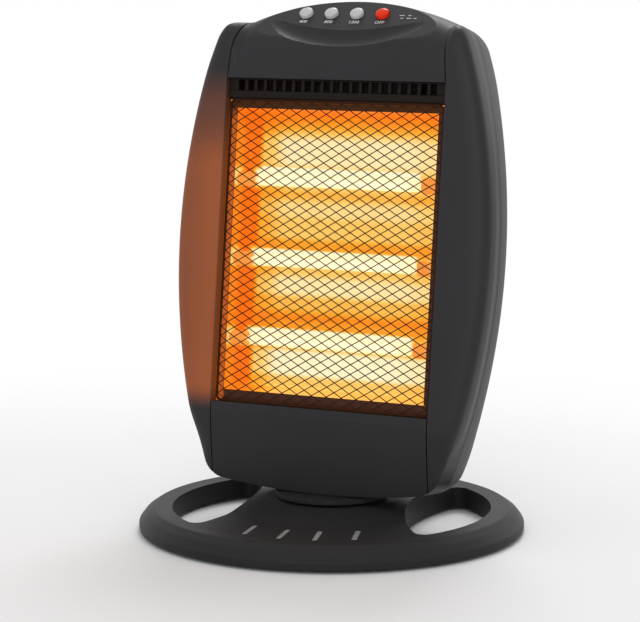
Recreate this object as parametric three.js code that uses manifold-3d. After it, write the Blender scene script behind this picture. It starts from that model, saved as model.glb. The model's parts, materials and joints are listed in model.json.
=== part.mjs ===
// Oscillating halogen heater: a leaning barrel-curved head on a round base, turned by a crank drive.
// Millimetres, +Z up. The origin is on the floor, on the axis that the head turns about.
// Head pieces are drawn in the head's own axes: x across, y the depth behind the flat front face,
// z up the lean. One group then leans and places them.
import * as THREE from 'three';
import { mergeVertices } from 'three/addons/utils/BufferGeometryUtils.js';
import Module from 'manifold-3d';

const wasm = await Module();
wasm.setup();

// ---- general fits -------------------------------------------------------------------------
const GAP = 0.3;                 // between neighbouring pieces that touch in the real product
const SEAM = 1.0;                // the dark joint between the front column and the side panels
const OVERRUN = 5;               // how far a cutting solid runs past what it cuts
const WALL = 2.6;                // moulded housing wall
const SHEET = 1.0;               // reflector and bracket sheet metal

// ---- base ----------------------------------------------------------------------------------
const BASE_R = 175;
const BASE_YAW = 13;             // degrees that the base is turned under the head as it stands
const RIM_BOTTOM = 2.7;          // underside of the moulding, on its feet
const RIM_TOP = 9.5;             // top of the vertical rim
const BEVEL_W = 13.4;            // from the rim in to the crease
const CREASE_R = BASE_R - BEVEL_W;
const CREASE_Z = 22;
const RING_W = 16.6;
const RING_R = CREASE_R - RING_W; // inner edge of the ring, outer edge of both side openings
const RING_Z = 21.5;
const CONE_R = 100;
const CONE_Z = 22.5;
const HUB_R = 60;
const HUB_Z = 29.5;
const BASE_WALL = 3;
const WAIST = 72;                // half width of the bridge at its waist
const BRIDGE_EDGE_R = 211;       // radius of the hollow edge of the bridge
const OPENING_FILLET = 9;
const SLOT_W = 4.8;
const SLOT_LENGTH = 33;
const SLOT_OUT_R = RING_R - BASE_WALL;
const SLOT_IN_R = SLOT_OUT_R - SLOT_LENGTH;
const SLOT_X = [14.3, 46];       // distance of the slots' inner ends from the middle line
const SLOT_SPLAY = [3, 5];       // degrees that they lean outwards
const FOOT_R = 9;
const FOOT_H = 2.4;
const FOOT_INSET = 16;           // from the rim to the feet's centres
const FOOT_CIRCLE = BASE_R - FOOT_INSET;
const FOOT_COUNT = 4;
const FLOOR_PLATE_T = 2;
const PLATE_R = WAIST - BASE_WALL - GAP;
const PLATE_Z = RIM_BOTTOM + GAP;
const TIP_Y = -38;               // tip-over switch, in front of the swivel
const TIP_BODY = 16;
const PLUNGER_R = 4;
const PLUNGER_PLAY = 0.5;

// ---- swivel and drive -----------------------------------------------------------------------
const SPINDLE_R = 8;
const SPINDLE_BORE = 5;
const SPINDLE_FLANGE_R = 22;
const SPINDLE_FLANGE_T = 3;
const DISC_R = 51;
const DISC_BOTTOM = 31.2;
const DISC_BOSS_R = 42;
const HEAD_FLOOR = 36.6;         // level underside of the head
const MOTOR_OFFSET = 30;         // crank axis to swivel axis
const MOTOR_BEARING = 20;        // degrees from +x
const MOTOR_R = 20;
const MOTOR_H = 18;
const MOTOR_SHAFT_R = 3.5;
const CRANK_R = 17;
const CRANK_T = 3;
const CRANK_HUB = 2;             // material round the shaft
const CRANK_TIP = 1.6;           // material round the pin
const CRANK_RATIO = 3;           // crank degrees per swivel degree
const PIN_R = 2.2;
const PIN_PLAY = 1.4;            // pin to slot side, takes up the constant ratio's error
const YOKE_T = 3;
const CRANK_SWING = 105;         // degrees each way from the dead centre
const MOTOR_BOTTOM = HEAD_FLOOR + WALL + GAP;
const CRANK_BOTTOM = MOTOR_BOTTOM + MOTOR_H + 2 * GAP;
const YOKE_BOTTOM = CRANK_BOTTOM + CRANK_T + SEAM;

// ---- head shape -----------------------------------------------------------------------------
const LEAN = 6.9;                // degrees that the head leans back
const HEAD_Y = -40.4;            // where the front face's lowest point stands
const HEAD_Z = 38.1;
const HEAD_H = 445.8;
const HALF_W = 151;
const WIDEST_Z = 222;
const TOP_R = 260;
const SIDE_R = 600;
const BOTTOM_R = 700;
const SHOULDER_R = 28;
const HEEL_R = 24;
const PART_DEPTH = 43;           // parting line between the front pieces and the back shell
const BACK_DEPTH = 91;
const LAND = 1.5;                // straight land of the moulding at the parting line
const TOE_DEPTH = 11;            // how far the foot of the front tucks back
const COLUMN_W = 107.5;          // half width of the flat front column, at the seam
const SEAM_DRAW = 4;             // how far the seams draw in at the very top
const CROWN_H = 70.8;            // height of the curved crown over the flat front
const FLAT_TOP = HEAD_H - CROWN_H;
const PANEL_STRIP = 3;           // flat strip of the top panel over the window
const WINDOW_TOP = FLAT_TOP - PANEL_STRIP;
const WINDOW_BOTTOM = 77;
const APRON = 8;                 // flat strip of the bottom panel under the window
const FLAT_BOTTOM = WINDOW_BOTTOM - APRON;
const FACE_CORNER = 8;
const WING_BULGE = 3.5;          // how far the wings swell beyond the parting outline
const WING_DEPTH = 20;           // depth of their widest line
const WING_BLEND = 16;           // width over which the crown passes into the wings
const SIDE_POWER = 4;            // fullness of the wings' quarter section
const TOP_POWER = 2;
const TOE_POWER = 1.15;
const BACK_POWER = 2.4;
const BACK_W = 104;              // half width of the flat back
const BACK_FOOT = 28;
const BACK_DROP = 53.8;          // top of the flat back, below the top of the head
const BACK_TOP = HEAD_H - BACK_DROP;
const BACK_CORNER = 20;

// ---- control facet ---------------------------------------------------------------------------
const FACET_DROP = 28.3;         // its lip, below the top of the head
const FACET_LIP_Z = HEAD_H - FACET_DROP;
const FACET_LIP_DEPTH = 14;
const FACET_TILT = 45.5;         // degrees from the front face
const SCOOP_REACH = 15.5;        // how far the hollow runs down from the lip
const SCOOP_Z = FACET_LIP_Z - SCOOP_REACH;
const SCOOP_DEPTH = 3.2;
const SCOOP_SAG = 2.5;
const SCOOP_SWEEP = 139;
const BUTTON_X0 = -45;
const BUTTON_PITCH = 25.3;
const BUTTON_COUNT = 4;
const BUTTON_UP = 22;            // centre of the buttons, up the facet from the lip
const CAP_R = 6.3;
const CAP_PROUD = 4.6;
const CAP_DOME = 1.6;
const CAP_SKIRT = 5.5;
const CAP_PLAY = 0.45;
const STEM_R = 2.8;
const STEM_PLAY = 0.4;
const PRESS = 4;
const BANK_H = 13;
const BANK_W = 15;

// ---- window ------------------------------------------------------------------------------------
const VENT_H = 11;               // height of the row of vent slots
const RAIL_H = 7.7;
const RAIL_TOP = WINDOW_TOP - VENT_H;
const RAIL_BOTTOM = RAIL_TOP - RAIL_H;
const RAIL_FRONT = 3.0;
const GRILLE_FRONT = 4.6;
const GRILLE_BACK = 9.6;
const TAIL_H = 8.3;
const GRILLE_TAIL = RAIL_BOTTOM - TAIL_H;
const VENT_PITCH = 9.5;
const VENT_SLOT = 5.9;
const VENT_COUNT = 21;
const SILL_H = 11;
const SILL_TOP = WINDOW_BOTTOM + SILL_H;
const BEZEL_W = 7;
const BEZEL_T = 1.7;
const FLANGE_T = 2.4;
const FLANGE_DEPTH = 12.4;
const LEDGE_W = 3;
const WINDOW_W = COLUMN_W - SEAM / 2 - GAP;

// ---- mesh guard ---------------------------------------------------------------------------------
const CELL_W = 14.8;
const CELL_H = 8.7;
const WIRE = 0.9;
const WIRE_FRONT = 2.5;          // depth of the front family's centre line
const WIRE_LAYER = 1.1;          // the other family lies this much deeper
const GUARD_FLAT = 97;           // half width of its flat middle
const GUARD_W = 105;
const GUARD_SET = 3.2;           // how far its sides bend back
const BORDER = 2.4;

// ---- reflector and tubes --------------------------------------------------------------------------
const MOUTH_W = 100;
const MOUTH_LAP = 2;             // how far the mouth runs behind the sill
const MOUTH_TOP = GRILLE_TAIL + SEAM;
const MOUTH_BOTTOM = SILL_TOP - MOUTH_LAP;
const MOUTH_DEPTH = GRILLE_BACK + GAP;
const MOUTH_FLANGE = 4;          // the mouth's flange, to the sides
const MOUTH_LIP = 2;             // and above and below
const REFLECTOR_DEPTH = 38;
const REFLECTOR_TAPER = 14;
const TROUGH = 6;
const TUBE_R = 5.5;
const TUBE_COUNT = 3;
const TUBE_DROP = 65;            // top tube, below the mouth's top
const TUBE_RISE = 49;            // bottom tube, above the mouth's bottom
const TUBE_TOP_Z = MOUTH_TOP - TUBE_DROP;
const TUBE_PITCH = (TUBE_TOP_Z - MOUTH_BOTTOM - TUBE_RISE) / (TUBE_COUNT - 1);
const TUBE_DEPTH = 20;
const TUBE_LENGTH = 167.4;
const CERAMIC_R = 7;
const CERAMIC_L = 20;
const CERAMIC_PLAY = 0.4;
const BRACKET_X = 102;

// ---- back shell ------------------------------------------------------------------------------------
const LOUVRE_W = 120;
const LOUVRE_H = 4;
const LOUVRE_PITCH = 10;
const LOUVRE_COUNT = 9;
const GRIP_W = 96;
const GRIP_H = 26;
const GRIP_DEPTH = 16;
const GRIP_DROP = 20;            // its middle, below the top of the flat back
const GRIP_Z = BACK_TOP - GRIP_DROP;
const LOUVRE_DROP = 42;          // top louvre, below the middle of the grip
const LOUVRE_Z = GRIP_Z - LOUVRE_DROP;
const GLAND_X = 62;
const GLAND_Z = 44;
const GLAND_R = 7;
const GLAND_BORE = 3.6;
const GLAND_COLLAR = 2;          // how far its collar stands out from the barrel
const GLAND_REACH = 5;           // how far it runs past the wall
const SCREW_R = 3.6;
const SCREW_T = 2.2;
const SCREW_X = 88;
const SCREW_INSET = 24;          // end screws, in from the flat back's top and foot
const SCREW_ROWS = 3;

// ---- inside the head -----------------------------------------------------------------------------
const CUTOUT_R = 9;              // overheat cut-out on the back of the reflector
const CUTOUT_T = 6;
const CUTOUT_X = 40;
const TERMINAL_W = 36;
const TERMINAL_T = 14;
const TERMINAL_H = 12;
const TERMINAL_X = -42;

const RAD = Math.PI / 180;

// ---- solids ---------------------------------------------------------------------------------------
function weld(geometry) {
  const plain = geometry.clone();
  plain.deleteAttribute('normal');
  if (plain.getAttribute('uv')) plain.deleteAttribute('uv');
  const merged = mergeVertices(plain, 1e-4);
  const index = merged.getIndex().array;
  const kept = [];
  for (let i = 0; i < index.length; i += 3) {
    const [a, b, c] = [index[i], index[i + 1], index[i + 2]];
    if (a !== b && b !== c && c !== a) kept.push(a, b, c);
  }
  merged.setIndex(kept);
  return merged;
}

// Six times the signed volume: positive when the faces point outwards.
function signedVolume(geometry) {
  const p = geometry.getAttribute('position');
  const index = geometry.getIndex().array;
  const [a, b, c] = [new THREE.Vector3(), new THREE.Vector3(), new THREE.Vector3()];
  let sum = 0;
  for (let i = 0; i < index.length; i += 3) {
    a.fromBufferAttribute(p, index[i]);
    b.fromBufferAttribute(p, index[i + 1]);
    c.fromBufferAttribute(p, index[i + 2]);
    sum += a.dot(b.cross(c));
  }
  return sum;
}

function solid(geometry) {
  const g = weld(geometry);
  const index = Array.from(g.getIndex().array);
  if (signedVolume(g) < 0) {
    for (let i = 0; i < index.length; i += 3) [index[i + 1], index[i + 2]] = [index[i + 2], index[i + 1]];
  }
  return new wasm.Manifold(new wasm.Mesh({
    numProp: 3,
    vertProperties: new Float32Array(g.getAttribute('position').array),
    triVerts: new Uint32Array(index),
  }));
}

function geometryOf(body) {
  const mesh = body.getMesh();
  const geometry = new THREE.BufferGeometry();
  geometry.setAttribute('position', new THREE.BufferAttribute(new Float32Array(mesh.vertProperties), 3));
  geometry.setIndex(new THREE.BufferAttribute(new Uint32Array(mesh.triVerts), 1));
  const flat = geometry.toNonIndexed();
  flat.computeVertexNormals();
  return flat;
}

const join = (first, ...rest) => rest.reduce((body, other) => body.add(other), first);
const cut = (first, ...rest) => rest.reduce((body, other) => body.subtract(other), first);

// A box between two corners.
function block(x0, x1, y0, y1, z0, z1) {
  return solid(new THREE.BoxGeometry(x1 - x0, y1 - y0, z1 - z0)
    .translate((x0 + x1) / 2, (y0 + y1) / 2, (z0 + z1) / 2));
}

function rod(axis, r, length, x, y, z, sides = 24) {
  const g = new THREE.CylinderGeometry(r, r, length, sides);
  if (axis === 'z') g.rotateX(Math.PI / 2);
  if (axis === 'x') g.rotateZ(Math.PI / 2);
  return solid(g.translate(x, y, z));
}

// A body of revolution about +Z from [radius, height] corners.
function turned(corners, sides = 48) {
  const points = corners.map(([r, h]) => new THREE.Vector2(r, h));
  if (corners[0][0] !== 0) points.push(points[0].clone());
  return new THREE.LatheGeometry(points, sides).rotateX(Math.PI / 2);
}

// A flat outline in x and z, as thick as from one depth to the other.
function panel(shape, front, back, curveSegments = 6) {
  return solid(new THREE.ExtrudeGeometry(shape, { depth: back - front, bevelEnabled: false, curveSegments })
    .rotateX(Math.PI / 2).translate(0, back, 0));
}

// A flat outline in x and y, standing from one height to the other.
function slab(shape, bottom, top, curveSegments = 12) {
  return solid(new THREE.ExtrudeGeometry(shape, { depth: top - bottom, bevelEnabled: false, curveSegments })
    .translate(0, 0, bottom));
}

function outlineShape(points) {
  return new THREE.Shape(points.map(([x, y]) => new THREE.Vector2(x, y)));
}

function roundedShape(w, h, r, x = 0, y = 0) {
  const shape = new THREE.Shape();
  const [x0, x1, y0, y1] = [x - w / 2, x + w / 2, y - h / 2, y + h / 2];
  shape.moveTo(x0 + r, y0).lineTo(x1 - r, y0).absarc(x1 - r, y0 + r, r, -Math.PI / 2, 0);
  shape.lineTo(x1, y1 - r).absarc(x1 - r, y1 - r, r, 0, Math.PI / 2);
  shape.lineTo(x0 + r, y1).absarc(x0 + r, y1 - r, r, Math.PI / 2, Math.PI);
  shape.lineTo(x0, y0 + r).absarc(x0 + r, y0 + r, r, Math.PI, Math.PI * 1.5);
  return shape;
}

// A skin through rings of equally many points, closed by a fan at each end.
function loft(rings) {
  const n = rings[0].length;
  const points = rings.flat();
  const middle = (ring) => ring.reduce((m, p) => m.add(p), new THREE.Vector3()).divideScalar(n);
  points.push(middle(rings[0]), middle(rings[rings.length - 1]));
  const index = [];
  for (let k = 0; k + 1 < rings.length; k++) {
    for (let i = 0; i < n; i++) {
      const [a, b] = [k * n + i, k * n + (i + 1) % n];
      index.push(a, b, b + n, a, b + n, a + n);
    }
  }
  const last = (rings.length - 1) * n;
  for (let i = 0; i < n; i++) {
    index.push(points.length - 2, (i + 1) % n, i);
    index.push(points.length - 1, last + i, last + (i + 1) % n);
  }
  const geometry = new THREE.BufferGeometry().setFromPoints(points);
  geometry.setIndex(index);
  geometry.computeVertexNormals();
  return geometry;
}

// ---- outlines made of tangent arcs ----------------------------------------------------------------
// The centre of the fillet that lies inside two circles and touches both, to the left of a to b.
function filletCentre(a, b, r, side = 1) {
  const [ra, rb] = [a.r - r, b.r - r];
  const [dx, dy] = [b.x - a.x, b.y - a.y];
  const d = Math.hypot(dx, dy);
  const along = (ra * ra - rb * rb + d * d) / (2 * d);
  const off = Math.sqrt(ra * ra - along * along) * side;
  return { x: a.x + (dx * along - dy * off) / d, y: a.y + (dy * along + dx * off) / d, r };
}

const bearing = (from, to) => Math.atan2(to.y - from.y, to.x - from.x);

function arc(circle, start, end, steps) {
  return Array.from({ length: steps }, (_, i) => {
    const angle = start + ((end - start) * i) / steps;
    return [circle.x + circle.r * Math.cos(angle), circle.y + circle.r * Math.sin(angle)];
  });
}

// The head seen from the front: top, side and bottom arcs with a shoulder and a heel fillet.
function headOutline(inset) {
  const top = { x: 0, y: HEAD_H - TOP_R, r: TOP_R - inset };
  const side = { x: HALF_W - SIDE_R, y: WIDEST_Z, r: SIDE_R - inset };
  const bottom = { x: 0, y: BOTTOM_R, r: BOTTOM_R - inset };
  const heel = filletCentre(bottom, side, HEEL_R - inset);
  const shoulder = filletCentre(side, top, SHOULDER_R - inset);
  const right = [
    ...arc(bottom, -Math.PI / 2, bearing(bottom, heel), 3),
    ...arc(heel, bearing(bottom, heel), bearing(side, heel), 3),
    ...arc(side, bearing(side, heel), bearing(side, shoulder), 9),
    ...arc(shoulder, bearing(side, shoulder), bearing(top, shoulder), 3),
    ...arc(top, bearing(top, shoulder), Math.PI / 2, 5),
    [0, HEAD_H - inset],
  ];
  const left = right.slice(1, -1).map(([x, z]) => [-x, z]).reverse();
  return [...right, ...left];
}

// Where an outline point ends on a flat face with rounded corners, and the way it faces there.
function faceEdge([x, z], halfWidth, bottom, top, corner) {
  const core = new THREE.Vector2(
    THREE.MathUtils.clamp(x, corner - halfWidth, halfWidth - corner),
    THREE.MathUtils.clamp(z, bottom + corner, top - corner),
  );
  const facing = new THREE.Vector2(x, z).sub(core).normalize();
  return { edge: core.addScaledVector(facing, corner), facing };
}

// Degrees along the section's quarter turn and shares of the run behind it, finer on the outside.
const stations = (inset) => (inset > 0 ? [0, 16, 38, 64, 90] : [0, 9, 20, 36, 54, 72, 90]);
const runs = (inset) => (inset > 0 ? [1] : [0.5, 1]);
const smooth = (share) => THREE.MathUtils.smoothstep(share, 0, 1);

// How an outline point's section is made up: wing, crown and toe shares, which add up to one.
function sectionShares(point, facing) {
  const toe = Math.max(0, -facing.y) ** 2;
  const shoulder = facing.y > 0 ? smooth((Math.abs(point[0]) - COLUMN_W) / WING_BLEND + 0.5) : 0;
  const wing = Math.max(facing.x ** 2, shoulder);
  return { wing, toe, crown: 1 - wing - toe };
}

// The front of the head: each outline point runs to the edge of the flat face on a superellipse.
// The wings are boxy and swell past the outline, the crown is round and the toe tucks back briefly.
function frontForm(inset) {
  const outline = headOutline(inset);
  const full = PART_DEPTH - LAND;
  const sections = outline.map((point) => {
    const { edge, facing } = faceEdge(point, COLUMN_W, FLAT_BOTTOM, FLAT_TOP, FACE_CORNER);
    const { wing, crown, toe } = sectionShares(point, facing);
    return {
      edge,
      outline: new THREE.Vector2(...point),
      widest: new THREE.Vector2(...point).addScaledVector(facing, WING_BULGE * wing),
      power: SIDE_POWER * wing + TOP_POWER * crown + TOE_POWER * toe,
      depth: WING_DEPTH * wing + (full - LAND) * crown + (TOE_DEPTH + inset) * toe,
    };
  });
  const rings = stations(inset).map((degrees) => sections.map(({ edge, widest, power, depth }) => {
    const spread = Math.sin(degrees * RAD) ** (2 / power);
    const back = 1 - Math.max(0, Math.cos(degrees * RAD)) ** (2 / power);
    const at = edge.clone().lerp(widest, spread);
    return new THREE.Vector3(at.x, inset + (depth - inset) * back, at.y);
  }));
  runs(inset).forEach((share) => rings.push(sections.map((section) => {
    const at = section.widest.clone().lerp(section.outline, smooth(share));
    return new THREE.Vector3(at.x, section.depth + (full - section.depth) * share, at.y);
  })));
  const end = inset > 0 ? PART_DEPTH + SEAM : PART_DEPTH;
  rings.push(outline.map(([x, z]) => new THREE.Vector3(x, end, z)));
  return solid(loft(rings));
}

// The back shell: the same outline drawn in to the flat back on a rounder superellipse.
function backForm(inset) {
  const outline = headOutline(inset);
  const start = PART_DEPTH + GAP;
  const reach = BACK_DEPTH - inset - start;
  const rings = (inset > 0 ? [0, 34, 64, 90] : [0, 24, 46, 68, 90]).map((degrees) => outline.map((point) => {
    const { edge } = faceEdge(point, BACK_W, BACK_FOOT, BACK_TOP, BACK_CORNER);
    const hold = Math.max(0, Math.cos(degrees * RAD)) ** (2 / BACK_POWER);
    return new THREE.Vector3(
      edge.x + (point[0] - edge.x) * hold,
      start + reach * Math.sin(degrees * RAD) ** (2 / BACK_POWER),
      edge.y + (point[1] - edge.y) * hold,
    );
  }));
  if (inset > 0) rings.unshift(outline.map(([x, z]) => new THREE.Vector3(x, start - SEAM, z)));
  return solid(loft(rings));
}

// ---- the head's place -------------------------------------------------------------------------------
const headPlace = new THREE.Matrix4().makeRotationX(-LEAN * RAD).setPosition(0, HEAD_Y, HEAD_Z);
const headInverse = headPlace.clone().invert();

// Everything below a level height, in the head's leaning axes.
function below(level) {
  const size = HEAD_H;
  return solid(new THREE.BoxGeometry(size, size, size)
    .translate(0, 0, level - size / 2).applyMatrix4(headInverse));
}

// The way through the floor for the swivel spindle.
function spindleWay() {
  return solid(new THREE.CylinderGeometry(SPINDLE_R + SEAM, SPINDLE_R + SEAM, HEAD_H / 4, 16)
    .rotateX(Math.PI / 2).translate(0, 0, HEAD_FLOOR).applyMatrix4(headInverse));
}

// The control facet, as everything in front of its plane moved in by some distance.
function aboveFacet(inset) {
  const size = HEAD_H;
  return solid(new THREE.BoxGeometry(size, size, size).translate(0, -size / 2 + inset, size / 3)
    .rotateX(-FACET_TILT * RAD).translate(0, FACET_LIP_DEPTH, FACET_LIP_Z));
}

// A point of the facet: x across, up the slope from the lip, out along its normal.
function facetFrame() {
  return new THREE.Matrix4().makeRotationX(-FACET_TILT * RAD)
    .setPosition(0, FACET_LIP_DEPTH, FACET_LIP_Z);
}

// The hollow under the lip: a round cutter swept about an axis square to the slope there.
function scoop(grow) {
  const rise = new THREE.Vector2(FACET_LIP_Z - SCOOP_Z, FACET_LIP_DEPTH - SCOOP_DEPTH);
  const chord = rise.length();
  const cutter = chord ** 2 / (8 * SCOOP_SAG) + SCOOP_SAG / 2;
  const slope = Math.atan2(rise.y, rise.x);
  const profile = Array.from({ length: 18 }, (_, i) => {
    const angle = (i / 18) * 2 * Math.PI;
    return [SCOOP_SWEEP - chord / 2 + (cutter + grow) * Math.cos(angle),
      cutter - SCOOP_SAG + (cutter + grow) * Math.sin(angle)];
  });
  return solid(turned(profile, 36)
    .rotateX(Math.PI / 2 - slope)
    .translate(0, SCOOP_DEPTH + SCOOP_SWEEP * Math.sin(slope), SCOOP_Z + SCOOP_SWEEP * Math.cos(slope)));
}

// The front column between the seams, from one height to another.
function column(grow, bottom, top) {
  const w = COLUMN_W - SEAM / 2 + grow;
  const high = HEAD_H + OVERRUN;
  const draw = (z) => w - SEAM_DRAW * Math.max(0, (z - FLAT_TOP) / (HEAD_H - SHOULDER_R - FLAT_TOP));
  const end = Math.min(top, high);
  const right = [[w, bottom], [w, Math.min(end, FLAT_TOP)], [draw(end), end]];
  const points = end > FLAT_TOP ? right : right.slice(0, 2);
  const left = points.map(([x, z]) => [-x, z]).reverse();
  return panel(outlineShape([...points, ...left]), -OVERRUN, PART_DEPTH + OVERRUN);
}

// ---- materials ------------------------------------------------------------------------------------
const finish = {
  shell: { color: 0x38373a, roughness: 0.55, metalness: 0 },
  back: { color: 0x4c4b4e, roughness: 0.6, metalness: 0 },
  base: { color: 0x343336, roughness: 0.5, metalness: 0 },
  hidden: { color: 0x222224, roughness: 0.7, metalness: 0 },
  rubber: { color: 0x161616, roughness: 0.9, metalness: 0 },
  bronze: { color: 0x3a2c22, roughness: 0.5, metalness: 0.6 },
  wire: { color: 0x2a2320, roughness: 0.45, metalness: 0.7 },
  reflector: { color: 0xd9b48a, roughness: 0.25, metalness: 0.9 },
  steel: { color: 0xb4b6b8, roughness: 0.4, metalness: 0.9 },
  quartz: { color: 0xff8a3c, roughness: 0.15, metalness: 0 },
  ceramic: { color: 0xe8e2d6, roughness: 0.6, metalness: 0 },
  cap: { color: 0xc9c9c9, roughness: 0.4, metalness: 0 },
  redCap: { color: 0xd9442c, roughness: 0.4, metalness: 0 },
};

function piece(name, body, look) {
  const geometry = body instanceof THREE.BufferGeometry ? body : geometryOf(body);
  const mesh = new THREE.Mesh(geometry, new THREE.MeshStandardMaterial({ ...look, flatShading: true }));
  mesh.name = name;
  return mesh;
}

// ---- base -------------------------------------------------------------------------------------------
// One side opening in plan: inside the ring and inside the bridge's hollow edge, with round corners.
function sideOpening(grow, way) {
  const ring = { x: 0, y: 0, r: RING_R + grow };
  const bridge = { x: WAIST + BRIDGE_EDGE_R, y: 0, r: BRIDGE_EDGE_R + grow };
  const corner = filletCentre(ring, bridge, OPENING_FILLET + grow);
  const upper = [
    ...arc(ring, 0, bearing(ring, corner), 5),
    ...arc(corner, bearing(ring, corner), bearing(bridge, corner), 4),
    ...arc(bridge, bearing(bridge, corner), Math.PI, 5),
    [WAIST - grow, 0],
  ];
  const lower = upper.slice(1, -1).map(([x, y]) => [x, -y]).reverse();
  return [...upper, ...lower].map(([x, y]) => [way * x, y]);
}

function openingWell(grow, way, bottom, top) {
  return slab(outlineShape(sideOpening(grow, way)), bottom, top);
}

function baseShell() {
  const outer = solid(turned([[0, RIM_BOTTOM], [BASE_R, RIM_BOTTOM], [BASE_R, RIM_TOP],
    [(BASE_R + CREASE_R) / 2 + SEAM, (RIM_TOP + CREASE_Z) / 2 + SEAM], [CREASE_R, CREASE_Z],
    [RING_R, RING_Z], [CONE_R, CONE_Z], [(CONE_R + HUB_R) / 2, (CONE_Z + HUB_Z) / 2 + SEAM / 2],
    [HUB_R, HUB_Z], [0, HUB_Z]], 56));
  const t = BASE_WALL;
  const hollow = solid(turned([[0, RIM_BOTTOM - OVERRUN], [BASE_R - t, RIM_BOTTOM - OVERRUN],
    [BASE_R - t, RIM_TOP - t / 2], [CREASE_R - t / 2, CREASE_Z - t], [RING_R, RING_Z - t],
    [CONE_R, CONE_Z - t], [HUB_R, HUB_Z - t], [0, HUB_Z - t]], 28));
  const cavity = cut(hollow, ...[-1, 1].map((way) => openingWell(t, way, -OVERRUN, HUB_Z + OVERRUN)),
    ...footPlaces().map(([x, y]) => rod('z', FOOT_R + SEAM, HUB_Z, x, y, FOOT_H + GAP + HUB_Z / 2, 12)));
  const wells = [-1, 1].map((way) => openingWell(0, way, -OVERRUN, HUB_Z + OVERRUN));
  return cut(outer, cavity, ...wells, ...baseSlots(),
    rod('z', SPINDLE_R + GAP, HUB_Z * 2, 0, 0, HUB_Z, 20));
}

function baseSlots() {
  return SLOT_X.flatMap((x, i) => [-1, 1].map((way) => {
    const inner = Math.sqrt(SLOT_IN_R ** 2 - x ** 2);
    const shape = roundedShape(SLOT_W, SLOT_LENGTH, SLOT_W / 2 - GAP, 0, -SLOT_LENGTH / 2);
    return solid(new THREE.ExtrudeGeometry(shape, { depth: HUB_Z, bevelEnabled: false, curveSegments: 3 })
      .rotateZ(way * SLOT_SPLAY[i] * RAD).translate(way * x, -inner, RIM_TOP));
  }));
}

function footPlaces() {
  return Array.from({ length: FOOT_COUNT }, (_, i) => {
    const angle = ((i + 0.5) / FOOT_COUNT) * 2 * Math.PI;
    return [FOOT_CIRCLE * Math.cos(angle), FOOT_CIRCLE * Math.sin(angle)];
  });
}

function foot([x, y]) {
  return turned([[0, 0], [FOOT_R - SEAM, 0], [FOOT_R, SEAM], [FOOT_R, FOOT_H], [0, FOOT_H]], 12)
    .translate(x, y, 0);
}

// The plate that closes the hub from below, round the tip-over switch.
function bottomPlate() {
  return cut(rod('z', PLATE_R, FLOOR_PLATE_T, 0, 0, PLATE_Z + FLOOR_PLATE_T / 2, 32),
    rod('z', PLUNGER_R + PLUNGER_PLAY, OVERRUN * 2, 0, TIP_Y, PLATE_Z));
}

function tipSwitch() {
  const bottom = PLATE_Z + FLOOR_PLATE_T + GAP;
  return cut(block(-TIP_BODY / 2, TIP_BODY / 2, TIP_Y - TIP_BODY / 2, TIP_Y + TIP_BODY / 2,
    bottom, bottom + TIP_BODY),
  rod('z', PLUNGER_R + PLUNGER_PLAY, TIP_BODY + OVERRUN, 0, TIP_Y, bottom));
}

function tipPlunger() {
  const top = PLATE_Z + FLOOR_PLATE_T + TIP_BODY / 3;
  return turned([[0, GAP], [PLUNGER_R - SEAM, GAP], [PLUNGER_R, GAP + SEAM], [PLUNGER_R, top], [0, top]], 12)
    .translate(0, TIP_Y, 0);
}

// ---- swivel and drive -------------------------------------------------------------------------------
const motorAt = [MOTOR_OFFSET * Math.cos(MOTOR_BEARING * RAD), MOTOR_OFFSET * Math.sin(MOTOR_BEARING * RAD)];

function spindle() {
  const flangeTop = HUB_Z - BASE_WALL - GAP;
  const bottom = flangeTop - SPINDLE_FLANGE_T;
  return turned([[SPINDLE_BORE, bottom], [SPINDLE_FLANGE_R, bottom], [SPINDLE_FLANGE_R, flangeTop],
    [SPINDLE_R, flangeTop], [SPINDLE_R, YOKE_BOTTOM - GAP], [SPINDLE_BORE, YOKE_BOTTOM - GAP]], 16);
}

function turntable() {
  const r = SPINDLE_R + GAP;
  const top = HEAD_FLOOR - GAP;
  return turned([[r, HUB_Z + GAP], [DISC_BOSS_R, HUB_Z + GAP], [DISC_BOSS_R, DISC_BOTTOM],
    [DISC_R - SEAM, DISC_BOTTOM], [DISC_R, DISC_BOTTOM + SEAM], [DISC_R, top], [r, top]], 32);
}

function gearMotor() {
  const [x, y] = motorAt;
  const shaft = MOTOR_H + CRANK_T + GAP;
  return join(rod('z', MOTOR_R, MOTOR_H, x, y, MOTOR_BOTTOM + MOTOR_H / 2, 32),
    rod('z', MOTOR_SHAFT_R, shaft, x, y, MOTOR_BOTTOM + shaft / 2, 16));
}

// The crank stands CRANK_RATIO times the base's yaw past its dead centre.
function crank() {
  const [x, y] = motorAt;
  const r = MOTOR_SHAFT_R + CRANK_HUB;
  const arm = new THREE.Shape();
  arm.absarc(0, 0, r, Math.PI / 2, Math.PI * 1.5);
  arm.absarc(CRANK_R, 0, PIN_R + CRANK_TIP, -Math.PI / 2, Math.PI / 2);
  const body = join(slab(arm, 0, CRANK_T, 6),
    rod('z', PIN_R, CRANK_T + YOKE_T + 2 * SEAM, CRANK_R, 0, (CRANK_T + YOKE_T) / 2 + SEAM, 16));
  return geometryOf(cut(body, rod('z', MOTOR_SHAFT_R + GAP, CRANK_T * 3, 0, 0, 0, 16)))
    .rotateZ((MOTOR_BEARING + CRANK_RATIO * BASE_YAW) * RAD).translate(x, y, CRANK_BOTTOM);
}

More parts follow.
